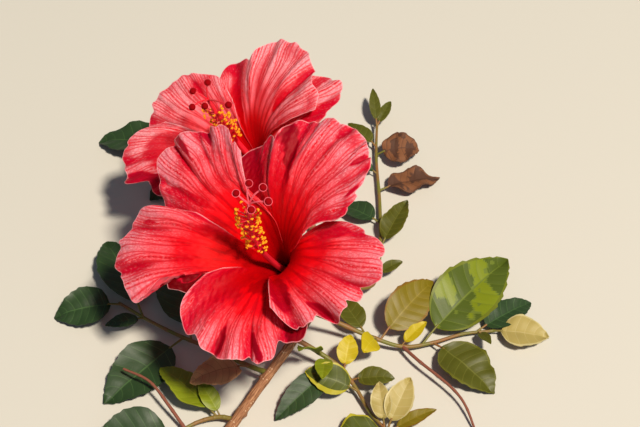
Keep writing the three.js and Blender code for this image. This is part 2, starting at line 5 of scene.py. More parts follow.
import bpy
import numpy as np
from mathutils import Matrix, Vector


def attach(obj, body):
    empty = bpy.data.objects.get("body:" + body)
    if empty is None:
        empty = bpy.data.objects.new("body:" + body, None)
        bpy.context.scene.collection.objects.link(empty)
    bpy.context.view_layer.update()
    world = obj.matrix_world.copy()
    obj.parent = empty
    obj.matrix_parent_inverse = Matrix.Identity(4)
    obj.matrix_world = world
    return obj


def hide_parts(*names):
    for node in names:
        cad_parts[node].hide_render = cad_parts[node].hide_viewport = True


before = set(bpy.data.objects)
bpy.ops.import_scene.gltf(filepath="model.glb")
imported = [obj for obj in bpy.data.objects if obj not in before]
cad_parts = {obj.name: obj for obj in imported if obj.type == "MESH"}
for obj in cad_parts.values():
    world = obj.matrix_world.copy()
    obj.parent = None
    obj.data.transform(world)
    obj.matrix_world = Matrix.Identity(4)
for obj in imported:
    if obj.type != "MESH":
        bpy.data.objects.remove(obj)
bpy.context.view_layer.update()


# The wood: one brown stem from its cut end up through the fork and down again to the back bloom. Young
# hibiscus bark is thin, finely ridged along the stem, with pale pores and a swollen ring and a small
# bud at each old leaf scar. It is cut square across, so the pale wood and the pith show at its end.
MM = 0.001  # the scene is in metres, and this script's own measures are in millimetres
SET_DOWN = np.array([7.0, 43.4, 0.1])  # from the plant's own place to where the solids lie
BLOOM_SEATS = {
    "front": {"throat": [0, 0, 59], "rise": 60.1, "heading": 215.7, "heart": 9, "stalk": 33},
    "back": {"throat": [-14.5, 83.3, 39.8], "rise": 64.9, "heading": 203.9, "heart": 9, "stalk": 32.7},
}
CUT_RADIUS = 2.6
TIP_RADIUS = 1.6
SCAR_SWELL = 0.08
SCARS_PER_STEM = 62 / math.tau
BUD_ABOVE = 0.006  # over its scar, as a share of the stem's length
LEAF_TURN = 2.4  # radians from one leaf scar to the next
BARK_SIDES = 32
BARK_STEP = 0.45
PATTERN_RADIUS = 2.2  # the bark's patterns are laid as round a stem of this radius
RIDGES = (0.07, 0.9)  # how high the bark's ridges are, and how far apart
RIDGE_STRETCH = 0.16  # they run along the stem, six times as long as wide
SWELLS = (0.05, 4.0)
PORES = 90
PORE = (0.14, 0.55, 0.3)  # height, length and width of a bump on the bark
BUD = (0.85, 1.2, 0.9)
LEAF_SCAR = (-0.2, 0.6, 1.3)
SCAR_BELOW_BUD = 2.3
CUT_RINGS = (0.2, 0.78, 0.9)  # edges of the pith, the wood and the green layer under the bark


def smooth(start, end, x):
    share = np.clip((x - start) / (end - start), 0.0, 1.0)
    return share * share * (3 - 2 * share)


def unit(vectors):
    return vectors / np.linalg.norm(vectors, axis=-1, keepdims=True)


def swell(place, pitch, seed, waves=9):
    """An uneven swell between about -1 and 1, its crests about pitch apart, at places in mm."""
    chance = np.random.default_rng(seed)
    place = np.asarray(place, float)
    total = np.zeros(place.shape[:-1])
    for _ in range(waves):
        way = unit(chance.normal(size=place.shape[-1]))
        length = pitch * chance.uniform(0.7, 1.4)
        total += np.sin(place @ way * (math.tau / length) + chance.uniform(0, math.tau))
    return total / math.sqrt(waves)


class Line:
    """A smooth line through points, read by the share of its length, as the solids' lines are."""

    def __init__(self, points, closeness=48):
        points = np.array(points, float)
        ends = [2 * points[0] - points[1], *points, 2 * points[-1] - points[-2]]
        w = np.arange(closeness)[:, None] / closeness
        laid = []
        for a, b, c, d in zip(ends, ends[1:], ends[2:], ends[3:]):
            ab, bc, cd = (math.sqrt(np.linalg.norm(q - p)) for p, q in ((a, b), (b, c), (c, d)))
            leave = bc * ((b - a) / ab - (c - a) / (ab + bc) + (c - b) / bc)
            arrive = bc * ((c - b) / bc - (d - b) / (bc + cd) + (d - c) / cd)
            bend = -3 * b + 3 * c - 2 * leave - arrive
            twist = 2 * b - 2 * c + leave + arrive
            laid.append(b + leave * w + bend * w**2 + twist * w**3)
        self.points = np.concatenate([*laid, points[-1:]])
        steps = np.linalg.norm(np.diff(self.points, axis=0), axis=1)
        self.run = np.concatenate([[0], np.cumsum(steps)])
        self.length = self.run[-1]

    def at(self, u):
        run = np.asarray(u) * self.length
        return np.stack([np.interp(run, self.run, self.points[:, k]) for k in range(3)], -1)

    def ahead(self, u):
        u = np.asarray(u, float)
        return unit(self.at(np.minimum(u + 0.01, 1)) - self.at(np.maximum(u - 0.01, 0)))


def ring_faces(sides, rings):
    """Faces over rings of points that a foot and a tip point follow: the walls and the two ends."""
    ring = np.arange(sides)
    after = (ring + 1) % sides
    starts = np.arange(rings - 1)[:, None] * sides
    walls = np.stack([starts + ring, starts + after, starts + after + sides, starts + ring + sides], -1)
    foot, last = rings * sides, (rings - 1) * sides
    foot_faces = np.stack([np.full(sides, foot), after, ring], -1)
    tip_faces = np.stack([np.full(sides, foot + 1), last + ring, last + after], -1)
    return [walls.reshape(-1, 4), foot_faces, tip_faces]


def tube(line, radius_at, sides, steps, relief=None, foot_rings=()):
    """Rings of points round a line, closed at both ends. foot_rings cut its first face into bands."""
    shares = np.concatenate([np.zeros(len(foot_rings)), np.linspace(0, 1, steps + 1)])
    grow = np.concatenate([foot_rings, np.ones(steps + 1)])
    angle = np.arange(sides) * (math.tau / sides)
    centres, ahead = line.at(shares), line.ahead(shares)
    across = np.eye(3)[np.argmin(np.abs(ahead[0]))]
    rings = []
    for u, size, centre, way in zip(shares, grow, centres, ahead):
        across = unit(across - way * (across @ way))
        up = np.cross(way, across)
        skin = size * (radius_at(u) + (relief(u, angle) if relief else np.zeros(sides)))
        rings.append(centre + np.outer(np.cos(angle) * skin, across) + np.outer(np.sin(angle) * skin, up))
    return np.concatenate([*rings, centres[:1], centres[-1:]]), ring_faces(sides, len(rings))


def mesh_piece(name, parts, looks, values=None, crease=50):
    """One object of parts, each (points in mm, blocks of faces, its look or a look for each face)."""
    points, faces, worn, count = [], [], [], 0
    for place, blocks, look in parts:
        points.append(np.asarray(place) - SET_DOWN)
        for block in blocks:
            faces += (block + count).tolist()
        count += len(place)
        size = sum(len(block) for block in blocks)
        worn.append(np.full(size, look) if np.isscalar(look) else look)
    mesh = bpy.data.meshes.new(name)
    mesh.from_pydata((np.concatenate(points) * MM).tolist(), [], faces)
    for look in looks:
        mesh.materials.append(look)
    mesh.polygons.foreach_set("material_index", np.concatenate(worn).astype(np.int32))
    mesh.polygons.foreach_set("use_smooth", np.ones(len(faces), bool))
    for label, value in (values or {}).items():
        mesh.attributes.new(label, "FLOAT", "POINT").data.foreach_set("value", value.astype(np.float32))
    mesh.set_sharp_from_angle(angle=math.radians(crease))
    made = bpy.data.objects.new(name, mesh)
    bpy.context.scene.collection.objects.link(made)
    return made


def colour(code):
    """An sRGB hex colour as linear red, green, blue and alpha."""
    parts = [int(code[k:k + 2], 16) / 255 for k in (1, 3, 5)]
    return (*(c / 12.92 if c <= 0.04045 else ((c + 0.055) / 1.055) ** 2.4 for c in parts), 1.0)


def new_material(name, **surface):
    """A material and its node tree, its plain values set on the shader's own sockets."""
    made = bpy.data.materials.new(name)
    made.use_nodes = True
    shader = made.node_tree.nodes["Principled BSDF"]
    for label, value in surface.items():
        shader.inputs[label.replace("_", " ")].default_value = value
    return made, made.node_tree


def add(tree, kind, inputs=(), output=None, to=None, stops=(), **settings):
    """Adds a node with its settings and links, and returns the output that is read from it.

    Its inputs are given in order or by name, each a value or the output that feeds it. The node may feed
    a socket of the shader, and stops are the places and colours of a ramp.
    """
    made = tree.nodes.new("ShaderNode" + kind)
    for name, value in settings.items():
        setattr(made, name, value)
    if isinstance(inputs, dict):
        given = [(made.inputs[name], value) for name, value in inputs.items()]
    else:
        given = zip([socket for socket in made.inputs if socket.enabled], inputs)
    for socket, value in given:
        if isinstance(value, bpy.types.NodeSocket):
            tree.links.new(value, socket)
        else:
            socket.default_value = value
    for position, _ in stops[1:-1]:
        made.color_ramp.elements.new(position)
    for place, (position, code) in enumerate(stops):
        made.color_ramp.elements[place].position = position
        made.color_ramp.elements[place].color = colour(code)
    read = made.outputs[output] if output else next(socket for socket in made.outputs if socket.enabled)
    if to:
        tree.links.new(read, tree.nodes["Principled BSDF"].inputs[to])
    return read


def grain(tree, size, kind="TexNoise", **inputs):
    """A pattern laid by the piece's own place, its marks about size mm across."""
    place = add(tree, "TexCoord", output="Object")
    return add(tree, kind, {"Vector": place, "Scale": 1000 / size, **inputs})


def bloom_axis(seat):
    rise, heading = math.radians(seat["rise"]), math.radians(seat["heading"])
    return np.array([math.cos(rise) * math.cos(heading), math.cos(rise) * math.sin(heading), math.sin(rise)])


def below(seat, depth):
    """A point on the flower's axis, under its foot."""
    return np.array(seat["throat"]) - bloom_axis(seat) * (seat["heart"] + depth)


WOOD = Line([
    [-33, -65, CUT_RADIUS + 0.1], [-25, -52, 4.2], [-12, -32, 8], [2, -13, 15], [12, 1, 20.5],
    below(BLOOM_SEATS["front"], BLOOM_SEATS["front"]["stalk"]), [22, 28, 18], [20, 56, 8], [11, 78, 3],
    below(BLOOM_SEATS["back"], BLOOM_SEATS["back"]["stalk"]), [-5, 98, TIP_RADIUS + 0.1],
])


def wood_radius(u):
    scar = np.maximum(0, np.sin(SCARS_PER_STEM * math.tau * u)) ** 6
    return (CUT_RADIUS + (TIP_RADIUS - CUT_RADIUS) * u) * (1 + SCAR_SWELL * scar)


pore_chance = np.random.default_rng(5)
PORE_SPOTS = np.stack([pore_chance.uniform(0, WOOD.length, PORES), pore_chance.uniform(0, math.tau, PORES)])
BUD_SPOTS = [((k + 0.25) / SCARS_PER_STEM + BUD_ABOVE, LEAF_TURN * k) for k in range(int(SCARS_PER_STEM))]


def bump_on(u, angle, place, turn, bump):
    """What a rounded bump of some height, length and width adds to the stem's skin."""
    height, long, wide = bump
    round_way = (angle - turn + math.pi) % math.tau - math.pi
    radius = (CUT_RADIUS + TIP_RADIUS) / 2
    return height * np.exp(-((u * WOOD.length - place) / long) ** 2 - (round_way * radius / wide) ** 2)


def bark_relief(u, angle):
    along = np.full_like(angle, u * WOOD.length * RIDGE_STRETCH)
    skin = np.stack([PATTERN_RADIUS * np.cos(angle), PATTERN_RADIUS * np.sin(angle), along], -1)
    lift = RIDGES[0] * swell(skin, RIDGES[1], seed=3) + SWELLS[0] * swell(skin, SWELLS[1], seed=4)
    for place, turn in PORE_SPOTS.T:
        lift = lift + bump_on(u, angle, place, turn, PORE)
    for share, turn in BUD_SPOTS:
        place = share * WOOD.length
        lift = lift + bump_on(u, angle, place, turn, BUD)
        lift = lift + bump_on(u, angle, place - SCAR_BELOW_BUD, turn, LEAF_SCAR)
    return lift


# Thin brown bark, dry and matt: long dark streaks between paler ridges, and pale pores. Its patterns are
# laid in mm along the stem and round it, the streaks 5 mm long and 0.6 mm wide, the pores 2 mm apart.
bark, tree = new_material("young_hibiscus_bark", Roughness=0.78, Specular_IOR_Level=0.35)
along_stem = add(tree, "Attribute", output="Fac", attribute_name="stem_length")
round_stem = add(tree, "Attribute", output="Fac", attribute_name="stem_round")
skin_place = add(tree, "CombineXYZ", [along_stem, round_stem])
streak_place = add(tree, "VectorMath", [skin_place, (0.18, 1.5, 1)], operation="MULTIPLY")
streaks = add(tree, "TexNoise", {"Vector": streak_place, "Scale": 1.1, "Detail": 6})
pores = add(tree, "TexVoronoi", {"Vector": skin_place, "Scale": 0.55})
brown = add(tree, "ValToRGB", [streaks], stops=((0.3, "#5f3c26"), (0.5, "#8d5f3f"), (0.72, "#b98c66")))
dots = add(tree, "MapRange", {"Value": pores, "From Min": 0.22, "From Max": 0.12})
add(tree, "Mix", [dots, brown, colour("#c9a98a")], to="Base Color", data_type="RGBA")
add(tree, "Bump", {"Height": streaks, "Strength": 0.5, "Distance": 0.2 * MM}, to="Normal")

# Freshly cut wood: pale and matt, with the brown pith in its middle and the moist green layer outside.
CUT_LOOKS = []
for part, code in (("pith", "#b98f62"), ("wood", "#e3cfa4"), ("green_layer", "#a9b56a")):
    made, tree = new_material("cut_" + part, Base_Color=colour(code), Roughness=0.7)
    fibres = grain(tree, 0.15, Detail=3)
    add(tree, "Bump", {"Height": fibres, "Strength": 0.3, "Distance": 0.1 * MM}, to="Normal")
    CUT_LOOKS.append(made)

wood_steps = round(WOOD.length / BARK_STEP)
wood_points, wood_faces = tube(
    WOOD, wood_radius, BARK_SIDES, wood_steps, relief=bark_relief, foot_rings=CUT_RINGS,
)
walls, foot, tip = wood_faces
bands = np.zeros(len(walls) + len(foot) + len(tip), int)
bands[:2 * BARK_SIDES] = np.repeat([2, 3], BARK_SIDES)
bands[len(walls):len(walls) + len(foot)] = 1
lengths = np.concatenate([np.zeros(len(CUT_RINGS)), np.linspace(0, WOOD.length, wood_steps + 1)])
around = np.abs(np.arange(BARK_SIDES) * 2 - BARK_SIDES) / BARK_SIDES * (math.pi * PATTERN_RADIUS)
stem = mesh_piece("wood_stem", [(wood_points, wood_faces, bands)], [bark, *CUT_LOOKS], {
    "stem_length": np.append(np.repeat(lengths, BARK_SIDES), [0, WOOD.length]),
    "stem_round": np.append(np.tile(around, len(lengths)), [0, 0]),
})
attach(stem, "root")
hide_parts("main_stem", "back_stem")


# The flower stalks: green, finely downy, a little thicker under the calyx and at the joint in their
# upper third where a spent bloom would drop off. Each grows out of the wood below it.
PEDICEL_RADIUS = 1.6
CALYX_BOTTOM = -2.3
STALK_SUNK = 0.6  # how far it runs up into the calyx
STALK_MIDDLE = 15  # where its line bends, down from the flower's foot
STALK_TOP = 1.15  # its thickness under the calyx, over its usual one
STALK_TAPER = 0.25
STALK_JOINT = 0.3  # along the stalk from the calyx
JOINT_RING = (0.16, 0.02)  # how much the stalk swells at the joint, and over what share of its length
JOINT_WAIST = (0.1, 0.05)
STALK_RIBS = 7
RIB_LIFT = 0.05


def nearest_on_wood(point):
    spots = np.linspace(0, 1, 401)
    return spots[np.argmin(np.linalg.norm(WOOD.at(spots) - point, axis=1))]


def stalk_radius(u):
    off = u - STALK_JOINT
    ring = JOINT_RING[0] * math.exp(-(off / JOINT_RING[1]) ** 2)
    joint = ring - JOINT_WAIST[0] * math.exp(-(off / JOINT_WAIST[1]) ** 2)
    foot = STALK_TAPER * float(smooth(0.86, 1.0, u))
    return PEDICEL_RADIUS * (STALK_TOP - STALK_TAPER * u + joint + foot)


def stalk_relief(u, angle):
    return RIB_LIFT * np.sin(angle * STALK_RIBS + 2 * u)


# Soft green stalk: satin, flushed with red on places, under a fine down that catches the light.
stalk_green, tree = new_material(
    "downy_green_stalk", Roughness=0.5, Sheen_Weight=0.3, Sheen_Roughness=0.5, Sheen_Tint=colour("#e6eccc"),
)
flush = add(tree, "MapRange", {"Value": grain(tree, 4, Detail=3), "From Min": 0.5, "From Max": 0.75})
add(tree, "Mix", [flush, colour("#77903a"), colour("#94673c")], to="Base Color", data_type="RGBA")
down = grain(tree, 0.15, Detail=4)
add(tree, "Bump", {"Height": down, "Strength": 0.4, "Distance": 0.1 * MM}, to="Normal")

for name, seat in BLOOM_SEATS.items():
    root = below(seat, seat["stalk"])
    girth = wood_radius(nearest_on_wood(root))
    foot = below(seat, seat["stalk"] - girth * 0.5)
    stalk_line = Line([below(seat, -CALYX_BOTTOM - STALK_SUNK), below(seat, STALK_MIDDLE), foot])
    skin = tube(stalk_line, stalk_radius, sides=28, steps=90, relief=stalk_relief)
    stalk = mesh_piece(name + "_stalk", [(*skin, 0)], [stalk_green])
    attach(stalk, "root")
    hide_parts(name + "_pedicel")


# The calyxes: a green cup of five pointed lobes, ribbed and downy, close round the foot of the petals,
# and under it the second whorl, seven narrow bracts that stand out and curl up.
CLAW_RADIUS = 3.5
FUNNEL_POWER = 0.78
CALYX_FLOOR = -0.3
CALYX_CLEAR = 1.1
CALYX_FLARE = 0.1
CALYX_SHAPES = {
    "front": {"rim": 47, "flare": 12, "notch": 15, "tooth": 24},
    "back": {"rim": 44, "flare": 11.5, "notch": 14, "tooth": 22},
}
CALYX_SIDES = 120
CALYX_ANGLES = np.arange(CALYX_SIDES) * (math.tau / CALYX_SIDES)
CALYX_CLIMB = np.linspace(0, 1, 15)
LOBES = 5
LOBE_CURVE = 1.25
WALL_THICK = (0.75, 0.4)  # at the cup's foot and at the lobes' tips
RIB_HEIGHT = 0.16
FOOT_RADII = (1.4, 3.4)
BRACTS = 7
BRACT_TURN = 0.3
BRACT_ROUTE = ((3.4, -1.6), (7, 0.5), (9.6, 5), (11.4, 11))  # out from the flower's axis, and up along it
BRACT_THICK = 0.45
BRACT_CUP = 0.3


def sheet(grid, thickness):
    """A thin closed solid either side of a grid of points, with a rim all round."""
    rows, columns = grid.shape[:2]
    face = unit(np.cross(np.gradient(grid, axis=0), np.gradient(grid, axis=1)))
    half = np.broadcast_to(np.asarray(thickness, float), (rows, columns))[..., None] / 2
    points = np.concatenate([(grid + face * half).reshape(-1, 3), (grid - face * half).reshape(-1, 3)])
    place = np.arange(rows * columns).reshape(rows, columns)
    a, b, c, d = place[:-1, :-1], place[1:, :-1], place[1:, 1:], place[:-1, 1:]
    upper = np.stack([a, b, c, d], -1).reshape(-1, 4)
    under = np.stack([a, d, c, b], -1).reshape(-1, 4) + rows * columns
    rim = np.concatenate([place[0, :-1], place[:-1, -1], place[-1, :0:-1], place[:0:-1, 0]])
    after = np.roll(rim, -1)
    edge = np.stack([rim, after, after + rows * columns, rim + rows * columns], -1)
    return points, [upper, under, edge]


def bloom_turn(seat):
    """The flower's own right, up and axis, as rows in the plant's frame."""
    axis = bloom_axis(seat)
    right = unit(np.array([1.0, 0, 0]) - axis * axis[0])
    return np.stack([right, np.cross(axis, right), axis])


def bloom_part(seat, shape, look=0):
    """A part of a bloom, from (points, faces) in the flower's own frame, whose Z runs up its axis."""
    points, faces = shape
    return below(seat, 0) + points @ bloom_turn(seat), faces, look


def calyx_ring(radius, height):
    level = height + 0 * CALYX_ANGLES
    return np.stack([radius * np.cos(CALYX_ANGLES), radius * np.sin(CALYX_ANGLES), level], -1)


def calyx_cup(cup):
    """The cup's skin, (points, faces), up its outside, over the lobes and down its inside."""
    tooth = 1 - np.abs(CALYX_ANGLES / math.tau * LOBES % 1 - 0.5) * 2
    top = cup["notch"] + (cup["tooth"] - cup["notch"]) * tooth**LOBE_CURVE
    thick_foot, thick_tip = WALL_THICK
    rings = [calyx_ring(FOOT_RADII[0], CALYX_BOTTOM), calyx_ring(FOOT_RADII[1], CALYX_BOTTOM + 0.1)]
    for wall, climb in [(1, share) for share in CALYX_CLIMB] + [(0, share) for share in CALYX_CLIMB[::-1]]:
        height = climb * top
        reach = CLAW_RADIUS + cup["flare"] * (-np.log(1 - height / cup["rim"])) ** (1 / FUNNEL_POWER)
        ribs = RIB_HEIGHT * np.cos(CALYX_ANGLES * 2 * LOBES)
        ribs = ribs * smooth(0, 0.2, climb) * (1 - smooth(0.7, 1, climb))
        thick = wall * (thick_foot + (thick_tip - thick_foot) * climb + ribs)
        lift = -(1 - climb) if wall else (1 - climb) * CALYX_FLOOR
        rings.append(calyx_ring(reach + CALYX_CLEAR + CALYX_FLARE * height + thick, height + lift))
    rings.append(calyx_ring(FOOT_RADII[0], CALYX_FLOOR))
    points = np.concatenate([*rings, [[0, 0, CALYX_BOTTOM], [0, 0, CALYX_FLOOR]]])
    return points, ring_faces(CALYX_SIDES, len(rings))


def bract(heading):
    """One narrow bract, cupped along its middle: (points, faces)."""
    out = np.array([math.cos(heading), math.sin(heading), 0])
    side = np.array([-out[1], out[0], 0])
    spine = Line([out * far + [0, 0, high] for far, high in BRACT_ROUTE])
    shares, across = np.linspace(0, 1, 16), np.linspace(-1, 1, 7)
    half = np.sin(math.pi * (0.12 + 0.88 * shares)) ** 0.6 * (1 - 0.35 * shares)
    inward = np.cross(spine.ahead(shares), side)
    blade = (spine.at(shares)[:, None] + side * (half[:, None] * across)[..., None]
             - inward[:, None] * (BRACT_CUP * half[:, None] * across**2)[..., None])
    return sheet(blade, BRACT_THICK)


# Calyx green: matt and downy, in two close greens.
calyx_green, tree = new_material(
    "downy_calyx_green", Roughness=0.62, Sheen_Weight=0.35, Sheen_Roughness=0.5, Sheen_Tint=colour("#e6eccc"),
)
cloud = grain(tree, 2, Detail=5)
add(tree, "Mix", [cloud, colour("#5e7a2c"), colour("#8fa548")], to="Base Color", data_type="RGBA")
down = grain(tree, 0.15, Detail=4)
add(tree, "Bump", {"Height": down, "Strength": 0.4, "Distance": 0.12 * MM}, to="Normal")

for name, seat in BLOOM_SEATS.items():
    parts = [bloom_part(seat, calyx_cup(CALYX_SHAPES[name]))]
    for k in range(BRACTS):
        parts.append(bloom_part(seat, bract(k / BRACTS * math.tau + BRACT_TURN)))
    calyx = mesh_piece(name + "_calyx_cup", parts, [calyx_green])
    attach(calyx, "root")
    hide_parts(name + "_calyx")


# The petals: five to a bloom, each laid over one neighbour and under the other, a third of a
# millimetre thick, springing from the calyx in a narrow claw. Veins fork twice on their way to the
# ruffled margin and draw the tissue into pleats.
PETAL_THICK = 0.34
CLAW_SPREAD = 44  # wide enough for the petals' feet to close the throat
PETAL_LAP = 3.5
LAP_RISE = (0.05, 0.75)
SKIRT_PLACE = (0.02, 0.2, 0.34, 0.6)  # where along a petal its skirt swells and ends
PETAL_OPENED = 0.62
PETAL_QUICKENS = 1.15
SWING_HEADING = 110
SWING_FROM = (8, 32)
RIM_DROOP = 3
RIM_RADIUS = 62
LANE_DEGREES = 9.5  # between one main vein and the next, where the petal is spread
FORKS = ((0.22, 0.72, 0.25), (0.55, 1.1, 0.125))  # from and to along the petal, and half the gap opened
LANE_WANDER = (0.12, 30.0)  # how far a vein strays, in lanes, and over what length
GROOVE = (0.03, 0.4)  # depth of the groove over a vein, and half its width
PLEAT = (0.08, 0.9)
FOLD_WANDER = 0.015
SCALLOP = (0.8, 9.0)  # height of the margin's scallops, and how far apart they are
RUFFLE = (1.0, 17.0, 0.55)  # height of the outer waves, how far apart, and where along the petal they start
FRILL = (0.4, 5.5, 0.82)
RUFFLE_DEPTH = 25  # how soon the waves of the margin change inwards
CRINKLE = (0.11, 2.6)
MARGIN_THIN = (0.55, 1.5)  # a margin's share of the full thickness, and how far in it reaches that
PAINTED_LIGHT_LIFT = (-1.7, 0.9)  # from a fold fully in crimson painted shade to a crest fully in pale painted light
PAINTED_LIGHT_CLOUDS = (0.7, 16.0)
PAINTED_SHADE_EDGE = (0.33, 0.56)
PAINTED_SHADE_RAGGED = (0.15, 3.0)
